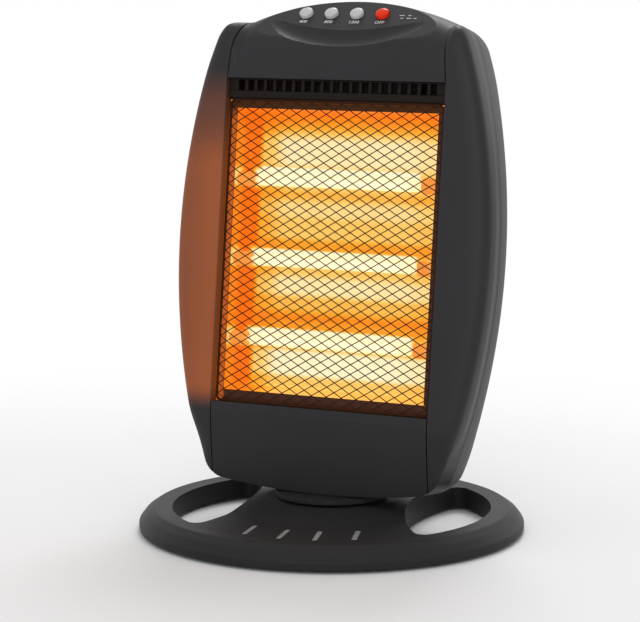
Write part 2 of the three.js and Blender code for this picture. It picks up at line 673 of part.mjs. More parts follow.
// The yoke stands on the spindle, with the slot that the crank pin runs in.
function yoke() {
  const far = MOTOR_OFFSET + CRANK_R;
  const near = Math.sqrt(MOTOR_OFFSET ** 2 + CRANK_R ** 2
    + 2 * MOTOR_OFFSET * CRANK_R * Math.cos(CRANK_SWING * RAD));
  const half = PIN_R + PIN_PLAY;
  const shape = new THREE.Shape();
  shape.absarc(0, 0, SPINDLE_R + SEAM, Math.PI / 2, Math.PI * 1.5);
  shape.absarc(far, 0, half + WALL, -Math.PI / 2, Math.PI / 2);
  const slot = new THREE.Path();
  slot.absarc(near, 0, half, Math.PI / 2, Math.PI * 1.5);
  slot.absarc(far, 0, half, -Math.PI / 2, Math.PI / 2);
  shape.holes.push(slot);
  return slab(shape, YOKE_BOTTOM, YOKE_BOTTOM + YOKE_T, 6);
}

// ---- front pieces of the head --------------------------------------------------------------------------
const outerFront = frontForm(0);
const innerFront = frontForm(WALL);
const headFloorCut = below(HEAD_FLOOR);
const cavityFloorCut = below(HEAD_FLOOR + WALL);

function buttonAxes() {
  return Array.from({ length: BUTTON_COUNT }, (_, i) => BUTTON_X0 + i * BUTTON_PITCH);
}

// Geometry drawn about the facet's own axes: x across, y into the head, z up the slope.
const onFacet = (geometry) => geometry.applyMatrix4(facetFrame());

function buttonHoles() {
  const r = CAP_R + CAP_PLAY;
  return buttonAxes().map((x) => solid(onFacet(
    new THREE.CylinderGeometry(r, r, WALL * 4, 14).translate(x, 0, BUTTON_UP))));
}

// The front panels are the outer form less a hollow, which stops short of their returns.
function topPanel() {
  const outer = cut(outerFront, aboveFacet(0), scoop(0));
  const lip = block(-HALF_W, HALF_W, -OVERRUN, FLANGE_DEPTH, WINDOW_TOP - OVERRUN, WINDOW_TOP + FLANGE_T);
  const hollow = cut(innerFront, aboveFacet(WALL), scoop(WALL), lip);
  return cut(cut(outer, hollow).intersect(column(0, WINDOW_TOP, Infinity)), ...buttonHoles());
}

function bottomPanel() {
  const lip = block(-HALF_W, HALF_W, -OVERRUN, FLANGE_DEPTH,
    WINDOW_BOTTOM - FLANGE_T, WINDOW_BOTTOM + OVERRUN);
  const hollow = cut(innerFront, cavityFloorCut, lip);
  return cut(outerFront, headFloorCut, hollow, spindleWay())
    .intersect(column(0, -OVERRUN * 4, WINDOW_BOTTOM));
}

// A side panel with a return along the seam and the ledge that the window pieces rest on.
function sidePanel(way) {
  const inner = COLUMN_W + SEAM / 2;
  const span = (from, to, ...rest) => block(Math.min(way * from, way * to), Math.max(way * from, way * to), ...rest);
  const rim = span(inner - OVERRUN, inner + FLANGE_T, -OVERRUN, FLANGE_DEPTH, WINDOW_BOTTOM / 2, FLAT_TOP);
  const hollow = cut(innerFront, cavityFloorCut, rim);
  const half = span(0, HALF_W * 2, -OVERRUN, PART_DEPTH + OVERRUN, -OVERRUN * 4, HEAD_H + OVERRUN);
  const shell = cut(outerFront, headFloorCut, hollow, column(SEAM, -OVERRUN * 5, Infinity)).intersect(half);
  const ledge = span(inner - LEDGE_W, inner + FLANGE_T / 2, GRILLE_BACK + GAP, FLANGE_DEPTH - GAP,
    SILL_TOP, GRILLE_TAIL);
  return join(shell, ledge);
}

function backShell() {
  const grip = (grow) => solid(new THREE.ExtrudeGeometry(
    roundedShape(GRIP_W + 2 * grow, GRIP_H + 2 * grow, GRIP_H / 3 + grow, 0, GRIP_Z),
    { depth: GRIP_DEPTH + grow + OVERRUN, bevelEnabled: false, curveSegments: 4 })
    .rotateX(Math.PI / 2).translate(0, BACK_DEPTH + OVERRUN, 0));
  const outer = cut(backForm(0), headFloorCut, grip(0));
  const cavity = cut(backForm(WALL), cavityFloorCut, grip(WALL));
  const louvres = Array.from({ length: LOUVRE_COUNT }, (_, i) => block(
    -LOUVRE_W / 2, LOUVRE_W / 2, BACK_DEPTH - WALL - SEAM, BACK_DEPTH + OVERRUN,
    LOUVRE_Z - i * LOUVRE_PITCH - LOUVRE_H / 2, LOUVRE_Z - i * LOUVRE_PITCH + LOUVRE_H / 2));
  return cut(outer, cavity, ...louvres, spindleWay(),
    rod('y', GLAND_R + GAP, WALL * 4, GLAND_X, BACK_DEPTH, GLAND_Z));
}

// ---- window pieces ----------------------------------------------------------------------------------
// A rail with a row of upright slots over it and a tail that carries the guard's upper edge.
function ventGrille() {
  const top = WINDOW_TOP - GAP;
  const rail = panel(roundedShape(2 * WINDOW_W, RAIL_TOP - RAIL_BOTTOM, GRILLE_FRONT - RAIL_FRONT, 0,
    (RAIL_TOP + RAIL_BOTTOM) / 2), RAIL_FRONT, GRILLE_BACK, 2);
  const plate = block(-WINDOW_W, WINDOW_W, GRILLE_FRONT, GRILLE_BACK - GAP, RAIL_TOP - SEAM, top);
  const tail = block(-WINDOW_W, WINDOW_W, GRILLE_BACK - BEZEL_T, GRILLE_BACK - GAP / 2,
    GRILLE_TAIL, RAIL_BOTTOM + SEAM);
  const slots = Array.from({ length: VENT_COUNT }, (_, i) => {
    const x = (i - (VENT_COUNT - 1) / 2) * VENT_PITCH;
    return block(x - VENT_SLOT / 2, x + VENT_SLOT / 2, 0, GRILLE_BACK + OVERRUN, RAIL_TOP + GAP, top - SEAM);
  });
  return cut(join(rail, plate, tail), ...slots);
}

function sill() {
  return block(-WINDOW_W, WINDOW_W, GRILLE_BACK - BEZEL_T, GRILLE_BACK, WINDOW_BOTTOM + GAP, SILL_TOP);
}

function bezel(way) {
  const [a, b] = [way * WINDOW_W, way * (WINDOW_W - BEZEL_W)];
  return block(Math.min(a, b), Math.max(a, b), GRILLE_BACK - BEZEL_T, GRILLE_BACK,
    SILL_TOP + GAP, GRILLE_TAIL - GAP);
}

// A square bar through stations of x, depth and height, with its faces to the front and up.
function bar(stations, thick) {
  const h = thick / 2;
  return solid(loft(stations.map(([x, y, z], i) => {
    const a = stations[Math.max(0, i - 1)];
    const b = stations[Math.min(stations.length - 1, i + 1)];
    const along = new THREE.Vector2(b[0] - a[0], b[2] - a[2]).normalize();
    const across = new THREE.Vector2(-along.y, along.x).multiplyScalar(h);
    return [[1, -h], [1, h], [-1, h], [-1, -h]].map(([s, d]) => new THREE.Vector3(
      x + s * across.x, y + d, z + s * across.y));
  })));
}

const guardBottom = WINDOW_BOTTOM + GAP + BORDER / 2;
const guardTop = RAIL_BOTTOM - GAP - BORDER / 2;
const guardDepth = (x, depth) => depth
  + GUARD_SET * Math.max(0, (Math.abs(x) - GUARD_FLAT) / (GUARD_W - GUARD_FLAT));

// Two crossing families of wires, each straight across the window and bent back at its sides.
function meshGuard() {
  const slope = CELL_H / CELL_W;
  const middle = (guardTop + guardBottom) / 2;
  const count = Math.ceil(((guardTop - guardBottom) / 2 + GUARD_W * slope) / CELL_H);
  const wires = [];
  for (const way of [-1, 1]) {
    const depth = way < 0 ? WIRE_FRONT : WIRE_FRONT + WIRE_LAYER;
    for (let k = -count; k <= count; k++) {
      const z = (x) => middle + k * CELL_H + way * slope * x;
      const crossing = (level) => (level - middle - k * CELL_H) / (way * slope);
      const [lo, hi] = [crossing(guardBottom), crossing(guardTop)].sort((p, q) => p - q);
      const [x0, x1] = [Math.max(lo, -GUARD_W), Math.min(hi, GUARD_W)];
      if (x1 - x0 < BORDER * 2) continue;
      const xs = [x0, ...[-GUARD_FLAT, GUARD_FLAT].filter((x) => x > x0 + SEAM && x < x1 - SEAM), x1];
      wires.push(bar(xs.map((x) => [x, guardDepth(x, depth), z(x)]), WIRE));
    }
  }
  const layers = WIRE_FRONT + WIRE_LAYER / 2;
  const across = [-GUARD_W, -GUARD_FLAT, GUARD_FLAT, GUARD_W];
  const borders = [guardBottom, guardTop].map((z) =>
    bar(across.map((x) => [x, guardDepth(x, layers), z]), BORDER));
  const sides = [-GUARD_W, GUARD_W].map((x) => block(x - BORDER / 2, x + BORDER / 2,
    guardDepth(x, layers) - BORDER / 2, guardDepth(x, layers) + BORDER / 2,
    guardBottom - BORDER / 2, guardTop + BORDER / 2));
  return wasm.Manifold.union([...borders, ...sides, ...wires]);
}

// ---- reflector, tubes and their brackets ------------------------------------------------------------
const tubeHeights = Array.from({ length: TUBE_COUNT }, (_, i) => TUBE_TOP_Z - i * TUBE_PITCH);

function reflectorForm(grow) {
  const [w, top, bottom] = [MOUTH_W + grow, MOUTH_TOP + grow, MOUTH_BOTTOM - grow];
  const back = MOUTH_DEPTH + REFLECTOR_DEPTH + grow;
  const t = REFLECTOR_TAPER;
  const ring = (x, lo, hi, y) => [[-x, lo], [x, lo], [x, hi], [-x, hi]]
    .map(([px, pz]) => new THREE.Vector3(px, y, pz));
  const front = MOUTH_DEPTH - (grow > 0 ? 0 : OVERRUN);
  const slope = t / REFLECTOR_DEPTH;
  const run = front - MOUTH_DEPTH;
  return solid(loft([
    ring(w - run * slope, bottom + run * slope / 2, top - run * slope / 2, front),
    ring(w - t, bottom + t / 2, top - t / 2, back),
  ]));
}

// A tapered tray with a shallow round trough behind each tube and a flange round its mouth.
function reflector() {
  const troughR = (TUBE_PITCH / 2) ** 2 / (2 * TROUGH) + TROUGH / 2;
  const floor = MOUTH_DEPTH + REFLECTOR_DEPTH;
  const trough = (grow, z) => rod('x', troughR + grow, 2 * (MOUTH_W - REFLECTOR_TAPER + grow) - 2 * SHEET, 0,
    floor + TROUGH - troughR, z, 48).intersect(block(-HALF_W, HALF_W, floor - SHEET, floor + TROUGH + SHEET * 2,
    z - TUBE_PITCH / 2 - grow + SHEET, z + TUBE_PITCH / 2 + grow - SHEET));
  const flange = block(-MOUTH_W - MOUTH_FLANGE, MOUTH_W + MOUTH_FLANGE, MOUTH_DEPTH, MOUTH_DEPTH + SHEET,
    MOUTH_BOTTOM - MOUTH_LIP, MOUTH_TOP + MOUTH_LIP);
  const outer = join(reflectorForm(SHEET), flange, ...tubeHeights.map((z) => trough(SHEET, z)));
  const inner = join(reflectorForm(0), ...tubeHeights.map((z) => trough(0, z)));
  return cut(outer, inner, ...tubeHeights.map((z) =>
    rod('x', CERAMIC_R + CERAMIC_PLAY, HALF_W * 2, 0, TUBE_DEPTH, z, 12)));
}

function quartzTube(z) {
  return new THREE.CylinderGeometry(TUBE_R, TUBE_R, TUBE_LENGTH, 16).rotateZ(Math.PI / 2)
    .translate(0, TUBE_DEPTH, z);
}

function ceramicEnd(way, z) {
  const start = TUBE_LENGTH / 2 + GAP;
  return new THREE.CylinderGeometry(CERAMIC_R, CERAMIC_R, CERAMIC_L, 12).rotateZ(Math.PI / 2)
    .translate(way * (start + CERAMIC_L / 2), TUBE_DEPTH, z);
}

function tubeBracket(way) {
  const x = way * BRACKET_X;
  const front = MOUTH_DEPTH + SHEET + GAP;
  const lowest = tubeHeights[TUBE_COUNT - 1] - CERAMIC_R * 2;
  const highest = tubeHeights[0] + CERAMIC_R * 2;
  const plate = block(x - SHEET / 2, x + SHEET / 2, front, MOUTH_DEPTH + REFLECTOR_DEPTH / 2, lowest, highest);
  return cut(plate, ...tubeHeights.map((z) =>
    rod('x', CERAMIC_R + CERAMIC_PLAY, OVERRUN * 2, x, TUBE_DEPTH, z, 12)));
}

// ---- controls ------------------------------------------------------------------------------------------
// A domed cap with a skirt and a stem; its rest height is set from the facet's plane.
function buttonCap(x) {
  const dome = Array.from({ length: 3 }, (_, i) => {
    const angle = ((i + 1) / 3) * (Math.PI / 2);
    return [CAP_R * Math.cos(angle), CAP_PROUD - CAP_DOME + CAP_DOME * Math.sin(angle)];
  });
  dome[dome.length - 1][0] = 0;
  const stemEnd = -CAP_SKIRT - PRESS - GAP - BANK_H / 2;
  const profile = [[0, stemEnd], [STEM_R, stemEnd], [STEM_R, -CAP_SKIRT], [CAP_R, -CAP_SKIRT],
    [CAP_R, CAP_PROUD - CAP_DOME], ...dome];
  return onFacet(turned(profile, 12).rotateX(Math.PI / 2).translate(x, 0, BUTTON_UP));
}

const bankFront = CAP_SKIRT + PRESS + GAP;

function switchBank() {
  const half = (BUTTON_COUNT - 1) * BUTTON_PITCH / 2 + BUTTON_PITCH / 2;
  const middle = BUTTON_X0 + (BUTTON_COUNT - 1) * BUTTON_PITCH / 2;
  const body = solid(onFacet(new THREE.BoxGeometry(2 * half, BANK_H, BANK_W)
    .translate(middle, bankFront + BANK_H / 2, BUTTON_UP)));
  return cut(body, ...buttonAxes().map((x) => solid(onFacet(
    new THREE.CylinderGeometry(STEM_R + STEM_PLAY, STEM_R + STEM_PLAY, BANK_H + SEAM * 2, 10)
      .translate(x, bankFront + BANK_H / 2 - SEAM, BUTTON_UP)))));
}

// ---- small pieces inside and behind ----------------------------------------------------------------------
function thermalCutout() {
  const front = MOUTH_DEPTH + REFLECTOR_DEPTH + TROUGH + SHEET + GAP;
  return join(rod('y', CUTOUT_R, CUTOUT_T, CUTOUT_X, front + CUTOUT_T / 2, tubeHeights[0], 24),
    block(CUTOUT_X - CUTOUT_R * 1.5, CUTOUT_X + CUTOUT_R * 1.5, front, front + SHEET,
      tubeHeights[0] - CUTOUT_R / 2, tubeHeights[0] + CUTOUT_R / 2));
}

function terminalBlock() {
  return block(TERMINAL_X - TERMINAL_W / 2, TERMINAL_X + TERMINAL_W / 2, -TERMINAL_T / 2, TERMINAL_T / 2,
    MOTOR_BOTTOM, MOTOR_BOTTOM + TERMINAL_H);
}

function cordGland() {
  const r = GLAND_R;
  const [seat, collar] = [WALL + GAP * 2, r + GLAND_COLLAR];
  return turned([[GLAND_BORE, 0], [r, 0], [r, seat], [collar, seat], [collar, WALL + GLAND_COLLAR],
    [r, WALL + GLAND_REACH], [GLAND_BORE, WALL + GLAND_REACH]], 12)
    .rotateX(-Math.PI / 2).translate(GLAND_X, BACK_DEPTH - WALL, GLAND_Z);
}

const screwHeights = Array.from({ length: SCREW_ROWS }, (_, i) => THREE.MathUtils.lerp(
  BACK_FOOT + SCREW_INSET, BACK_TOP - SCREW_INSET, i / (SCREW_ROWS - 1)));

function rearScrew(x, z) {
  return turned([[0, 0], [SCREW_R, 0], [SCREW_R, SCREW_T / 2], [SCREW_R * 0.6, SCREW_T], [0, SCREW_T]], 8)
    .rotateX(-Math.PI / 2).translate(x, BACK_DEPTH + GAP, z);
}

// ---- the whole heater -----------------------------------------------------------------------------------
const heater = new THREE.Group();

const base = new THREE.Group();
base.rotation.z = BASE_YAW * RAD;
base.add(
  piece('base_shell', baseShell(), finish.base),
  piece('base_bottom_plate', bottomPlate(), finish.hidden),
  piece('tip_switch_body', tipSwitch(), finish.hidden),
  piece('tip_plunger', tipPlunger(), finish.hidden),
  piece('pivot_spindle', spindle(), finish.steel),
);
footPlaces().forEach((place, i) => base.add(piece(`foot_${i + 1}`, foot(place), finish.rubber)));
const driveYoke = piece('drive_yoke', yoke(), finish.steel);
driveYoke.rotation.z = MOTOR_BEARING * RAD;
base.add(driveYoke);

const turning = new THREE.Group();
turning.add(
  piece('turntable_disc', turntable(), finish.base),
  piece('gear_motor', gearMotor(), finish.steel),
  piece('motor_crank', crank(), finish.hidden),
  piece('terminal_block', terminalBlock(), finish.ceramic),
);

const head = new THREE.Group();
head.rotation.x = -LEAN * RAD;
head.position.set(0, HEAD_Y, HEAD_Z);
head.add(
  piece('front_top_panel', topPanel(), finish.shell),
  piece('front_bottom_panel', bottomPanel(), finish.shell),
  piece('left_side_panel', sidePanel(-1), finish.shell),
  piece('right_side_panel', sidePanel(1), finish.shell),
  piece('back_shell', backShell(), finish.back),
  piece('vent_grille', ventGrille(), finish.shell),
  piece('window_sill', sill(), finish.bronze),
  piece('bezel_left', bezel(-1), finish.bronze),
  piece('bezel_right', bezel(1), finish.bronze),
  piece('mesh_guard', meshGuard(), finish.wire),
  piece('reflector', reflector(), finish.reflector),
  piece('tube_bracket_left', tubeBracket(-1), finish.steel),
  piece('tube_bracket_right', tubeBracket(1), finish.steel),
  piece('switch_bank', switchBank(), finish.hidden),
  piece('thermal_cutout', thermalCutout(), finish.ceramic),
  piece('cord_gland', cordGland(), finish.rubber),
);
tubeHeights.forEach((z, i) => head.add(
  piece(`quartz_tube_${i + 1}`, quartzTube(z), finish.quartz),
  piece(`ceramic_left_${i + 1}`, ceramicEnd(-1, z), finish.ceramic),
  piece(`ceramic_right_${i + 1}`, ceramicEnd(1, z), finish.ceramic),
));
buttonAxes().forEach((x, i) => head.add(
  piece(`button_${i + 1}`, buttonCap(x), i === BUTTON_COUNT - 1 ? finish.redCap : finish.cap)));
[-1, 1].forEach((way) => screwHeights.forEach((z, i) => head.add(
  piece(`rear_screw_${way < 0 ? 'left' : 'right'}_${i + 1}`, rearScrew(way * SCREW_X, z), finish.steel))));

heater.add(base, turning, head);
export default heater;
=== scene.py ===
"""Looks of an upright oscillating halogen heater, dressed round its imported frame.

Every piece is drawn in millimetres, in the axes of the group that carries it, and is then placed in
the frame's metres. The head's own axes are x across, y the depth behind its flat front and z up its
lean; the base's are the world's axes turned by its yaw.
"""

import json
import logging
import math
from dataclasses import dataclass, field
from enum import Enum
from typing import Any, Callable, Sequence

import bpy
import numpy as np
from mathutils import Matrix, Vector
from numpy.typing import NDArray

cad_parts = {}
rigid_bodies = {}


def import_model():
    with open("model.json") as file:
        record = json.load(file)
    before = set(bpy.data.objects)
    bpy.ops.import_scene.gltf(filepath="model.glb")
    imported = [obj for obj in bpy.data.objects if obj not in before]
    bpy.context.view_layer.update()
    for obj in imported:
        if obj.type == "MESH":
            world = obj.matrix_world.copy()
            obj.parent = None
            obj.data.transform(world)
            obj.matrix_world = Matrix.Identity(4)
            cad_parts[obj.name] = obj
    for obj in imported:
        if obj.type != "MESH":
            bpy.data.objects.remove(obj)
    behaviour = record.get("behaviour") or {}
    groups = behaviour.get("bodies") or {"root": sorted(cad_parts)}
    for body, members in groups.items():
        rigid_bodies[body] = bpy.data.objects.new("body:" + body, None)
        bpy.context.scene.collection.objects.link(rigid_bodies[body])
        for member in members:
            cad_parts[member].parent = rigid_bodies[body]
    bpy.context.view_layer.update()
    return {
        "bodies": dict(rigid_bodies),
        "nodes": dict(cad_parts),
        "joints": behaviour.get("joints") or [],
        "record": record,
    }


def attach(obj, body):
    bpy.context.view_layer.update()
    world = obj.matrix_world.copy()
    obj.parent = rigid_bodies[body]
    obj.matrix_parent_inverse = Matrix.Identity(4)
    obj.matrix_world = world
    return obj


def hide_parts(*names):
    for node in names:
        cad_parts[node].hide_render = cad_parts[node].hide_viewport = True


Array = NDArray[np.float64]
Colour = tuple[float, float, float]
LOG = logging.getLogger("heater")
MM = 0.001


class Way(Enum):
    """A side of the heater, as the sign of x."""

    LEFT = -1
    RIGHT = 1

    @property
    def word(self) -> str:
        """The side's name in lower case."""
        return self.name.lower()


class Carve(Enum):
    """What a Boolean does with the second solid."""

    CUT = "DIFFERENCE"
    JOIN = "UNION"
    KEEP = "INTERSECT"


# ---- places ----
@dataclass(frozen=True)
class Place:
    """Turns and shifts millimetres in a group's own axes into the frame's metres."""

    matrix: tuple[tuple[float, ...], ...]
    offset: tuple[float, float, float]

    def world(self, points: Array) -> Array:
        """Maps points to metres: each is turned by the matrix, shifted and scaled.

        Args:
            points: Rows of x, y and z in millimetres.

        Returns:
            Rows of x, y and z in metres.
        """
        return self.level(points) * MM

    def level(self, points: Array) -> Array:
        """Maps the group's own axes to level millimetres."""
        return points @ np.array(self.matrix).T + np.array(self.offset)

    def local(self, points: Array) -> Array:
        """Maps level millimetres back into the group's own axes."""
        return (points - np.array(self.offset)) @ np.array(self.matrix)


def tilted(degrees: float, offset: tuple[float, float, float]) -> Place:
    """A place that leans back about x by some degrees."""
    c, s = math.cos(math.radians(degrees)), math.sin(math.radians(degrees))
    return Place(((1, 0, 0), (0, c, s), (0, -s, c)), offset)


def yawed(degrees: float) -> Place:
    """A place that is turned about z by some degrees."""
    c, s = math.cos(math.radians(degrees)), math.sin(math.radians(degrees))
    return Place(((c, -s, 0), (s, c, 0), (0, 0, 1)), (0, 0, 0))


HEAD = tilted(6.9, (0.0, -40.4, 38.1))
BASE = yawed(13.0)
LEVEL = yawed(0.0)
# The control facet in the head's axes: x, depth below it and up its slope.
FACET = tilted(45.5, (0.0, 14.0, 417.5))
TUBES = (281.0, 208.0, 135.0)
BUTTONS = tuple(-45 + 25.3 * i for i in range(4))
BUTTON_UP = 22.0


@dataclass(frozen=True)
class Tray:
    """Inner measures of the reflector tray.

    Its mouth is 2 half wide and runs from low to high. Its cheeks and ends fall from the front by
    the deep over the taper, and a round trough lies behind each tube.
    """

    half: float = 100
    low: float = 86
    high: float = 346
    front: float = 9.9
    deep: float = 38
    taper: float = 14
    trough: float = 6
    pitch: float = TUBES[0] - TUBES[1]


TRAY = Tray()


# ---- meshes ----
def strip_faces(rows: int, columns: int, wrap_rows: bool, wrap_columns: bool) -> NDArray[np.int64]:
    """Quads between neighbouring rows and columns of a grid of points.

    Args:
        rows: Number of rows of points.
        columns: Number of points in a row.
        wrap_rows: Whether the last row joins the first.
        wrap_columns: Whether the last column joins the first.

    Returns:
        One row of four point numbers for each quad.
    """
    row = np.arange(rows if wrap_rows else rows - 1)[:, None]
    column = np.arange(columns if wrap_columns else columns - 1)[None, :]
    below, right = (row + 1) % rows, (column + 1) % columns
    corners = (row * columns + column, row * columns + right,
               below * columns + right, below * columns + column)
    return np.stack(np.broadcast_arrays(*corners), axis=-1).reshape(-1, 4)


def outward(points: Array, faces: list[list[int]]) -> list[list[int]]:
    """Turns all faces round where the volume under them is negative.

    The volume is the sum over the faces' fans of a . (b x c) / 6.
    """
    quads = np.array([face[:4] for face in faces if len(face) == 4])
    a, b, c, d = (points[quads[:, i]] for i in range(4))
    volume = np.einsum("ij,ij->", a, np.cross(b, c)) + np.einsum("ij,ij->", a, np.cross(c, d))
    for face in (f for f in faces if len(f) != 4):
        fan = points[face]
        volume += np.einsum("j,ij->", fan[0], np.cross(fan[1:-1], fan[2:]))
    return faces if volume > 0 else [face[::-1] for face in faces]


def mesh_object(name: str, points: Array, faces: list[list[int]]) -> bpy.types.Object:
    """Makes a linked mesh object from points and faces."""
    mesh = bpy.data.meshes.new(name)
    mesh.from_pydata(points, [], faces)
    mesh.validate()
    made = bpy.data.objects.new(name, mesh)
    bpy.context.scene.collection.objects.link(made)
    return made


def loft(name: str, rings: Array, wrap: bool = False) -> bpy.types.Object:
    """A closed skin over rings of equally many points, with a flat cap at each end.

    Args:
        name: The object's name.
        rings: Points by ring, place on the ring, and axis.
        wrap: Whether the last ring joins the first, so that there are no caps.

    Returns:
        The object, with its faces outwards.
    """
    count, around = rings.shape[:2]
    points = rings.reshape(-1, 3)
    faces = strip_faces(count, around, wrap, True).tolist()
    if not wrap:
        last = (count - 1) * around
        faces += [list(range(around))[::-1], list(range(last, last + around))]
    return mesh_object(name, points, outward(points, faces))


def mapped(rule: Callable[[Array], Array], rings: Array) -> Array:
    """Applies a rule for rows of points to rings of points."""
    return rule(rings.reshape(-1, 3)).reshape(rings.shape)


def box(x: tuple[float, float], y: tuple[float, float], z: tuple[float, float],
        place: Callable[[Array], Array] | None = None) -> bpy.types.Object:
    """A cutting block between two corners, which a place may turn."""
    ring = np.array([(x[0], y[0]), (x[1], y[0]), (x[1], y[1]), (x[0], y[1])])
    rings = np.stack([np.c_[ring, np.full(4, level)] for level in z])
    return loft("block", mapped(place, rings) if place else rings)


def prism(outline: Array, near: float, far: float, axis: int) -> bpy.types.Object:
    """A flat outline carried straight along one axis, from one depth to another.

    The outline's two columns fill the other two axes in order.
    """
    rings = np.stack([np.insert(outline, axis, depth, axis=1) for depth in (near, far)])
    return loft("prism", rings)


def round_angles(count: int) -> Array:
    """Angles evenly round a circle, from 0."""
    return np.linspace(0, 2 * math.pi, count, endpoint=False)


def lathe_rings(profile: Array, sides: int) -> Array:
    """Rings of a body of revolution about z.

    A ring is (r cos a, r sin a, h) for each corner (r, h) of the profile and each angle a.
    """
    angle = round_angles(sides)
    r, h = profile[:, :1], profile[:, 1:]
    return np.stack([r * np.cos(angle), r * np.sin(angle),
                     np.broadcast_to(h, (len(profile), sides))], -1)


def rounded(corners: Sequence[tuple[float, float, float]], steps: int = 6,
            closed: bool = False) -> Array:
    """A line through corners, each rounded by an arc of its own radius.

    At a corner with half turn t the arc starts r tan(t) before it, and its points are the quadratic
    blend of both ends with the corner.

    Args:
        corners: Rows of two coordinates and a radius; the ends' radii aren't used on an open line.
        steps: Points for each arc.
        closed: Whether the line returns to its start.

    Returns:
        Rows of two coordinates.
    """
    spots, radii = np.array(corners)[:, :2], np.array(corners)[:, 2]
    out: list[Array] = []
    count = len(spots)
    share = np.linspace(0, 1, steps)[:, None]
    for i, (spot, radius) in enumerate(zip(spots, radii)):
        if (not closed and i in (0, count - 1)) or radius <= 0:
            out.append(spot[None])
            continue
        before, after = spots[i - 1] - spot, spots[(i + 1) % count] - spot
        reach_b, reach_a = np.linalg.norm(before), np.linalg.norm(after)
        before, after = before / reach_b, after / reach_a
        half = (math.pi - math.acos(float(np.clip(before @ after, -1, 1)))) / 2
        run = min(radius * math.tan(half), 0.49 * reach_b, 0.49 * reach_a)
        a, b = spot + before * run, spot + after * run
        out.append((1 - share) ** 2 * a + 2 * share * (1 - share) * spot + share ** 2 * b)
    return np.concatenate(out)


def rounded_box(width: float, height: float, radius: float, x: float = 0, y: float = 0) -> Array:
    """A closed rectangle with round corners."""
    w, h = width / 2, height / 2
    signs = ((1, -1), (1, 1), (-1, 1), (-1, -1))
    return rounded([(x + sx * w, y + sy * h, radius) for sx, sy in signs],
                   8, True)


def drop(*objects: bpy.types.Object) -> None:
    """Removes helper solids and their meshes."""
    for thing in objects:
        mesh = thing.data
        bpy.data.objects.remove(thing)
        bpy.data.meshes.remove(mesh)


def settle(target: bpy.types.Object) -> None:
    """Applies all modifiers of an object to its mesh."""
    graph = bpy.context.evaluated_depsgraph_get()
    graph.update()
    made = bpy.data.meshes.new_from_object(target.evaluated_get(graph))
    old = target.data
    target.modifiers.clear()
    target.data = made
    bpy.data.meshes.remove(old)


def carve(target: bpy.types.Object, how: Carve, *others: bpy.types.Object) -> bpy.types.Object:
    """Cuts, joins or intersects a solid with others, which are used up."""
    for other in others:
        cutter = target.modifiers.new("carve", "BOOLEAN")
        cutter.operation, cutter.solver, cutter.object = how.value, "MANIFOLD", other
    settle(target)
    drop(*others)
    return target


def ease_edges(target: bpy.types.Object, width: float, degrees: float = 38) -> None:
    """Rounds the sharp edges of a finished solid by a small width."""
    bevel = target.modifiers.new("edge", "BEVEL")
    bevel.width, bevel.segments, bevel.limit_method = width, 2, "ANGLE"
    bevel.angle_limit = math.radians(degrees)
    bevel.use_clamp_overlap = True
    settle(target)


def remap(target: bpy.types.Object, order: Callable[[Array], Array]) -> bpy.types.Object:
    """Rewrites the points of a mesh by a rule on whole arrays."""
    points = np.empty(len(target.data.vertices) * 3)
    target.data.vertices.foreach_get("co", points)
    target.data.vertices.foreach_set("co", order(points.reshape(-1, 3)).ravel())
    target.data.update()
    return target


def moved(x: float, y: float, z: float = 0.0) -> Callable[[Array], Array]:
    """A rule that shifts points."""
    return lambda p: p + (x, y, z)


def turned(profile: Array, sides: int, wrap: bool = False) -> bpy.types.Object:
    """A body of revolution about z, in its own axes."""
    return loft("turned", lathe_rings(profile, sides), wrap)


def rod(radius: float, low: float, high: float, sides: int = 48) -> bpy.types.Object:
    """A plain round bar about z."""
    return turned(np.array([(radius, low), (radius, high)]), sides)


def even_out(target: bpy.types.Object) -> bpy.types.Object:
    """Shades a moulding so that its large faces stay flat beside small ones."""
    even = target.modifiers.new("even", "WEIGHTED_NORMAL")
    even.keep_sharp = True
    settle(target)
    return target


# ---- shader maths ----
def operation(word: str, flip: bool = False) -> Callable[..., "Sock"]:
    """A method of Sock that adds a Math node, with its own socket last if flipped."""

    def method(self: "Sock", *others: Any) -> "Sock":
        """Adds the node."""
        values = (*others, self) if flip else (self, *others)
        return self.shader.node("ShaderNodeMath", {"operation": word}, dict(enumerate(values)))

    return method


class Sock:
    """An output socket whose arithmetic adds Math nodes."""

    def __init__(self, shader: "Graph", socket: bpy.types.NodeSocket) -> None:
        """Wraps a socket of a node tree."""
        self.shader, self.socket = shader, socket

    __add__ = __radd__ = operation("ADD")
    __mul__ = __rmul__ = operation("MULTIPLY")
    __sub__, __rsub__ = operation("SUBTRACT"), operation("SUBTRACT", True)
    __truediv__, __pow__ = operation("DIVIDE"), operation("POWER")
    size, wave = operation("ABSOLUTE"), operation("SINE")
    top, low = operation("MAXIMUM"), operation("MINIMUM")

    def rise(self, start: float, end: float) -> "Sock":
        """A smooth step from 0 at the start to 1 at the end, which may be the lower of the two."""
        low, high = min(start, end), max(start, end)
        step = self.shader.node("ShaderNodeMapRange", {"interpolation_type": "SMOOTHSTEP"},
                                {0: self, 1: low, 2: high, 3: 0.0, 4: 1.0})
        return step if end > start else 1 - step

    def band(self, centre: float, half: float, soft: float) -> "Sock":
        """1 within half a width of a centre, falling to 0 over a soft edge."""
        return (self - centre).size().rise(half + soft, half)


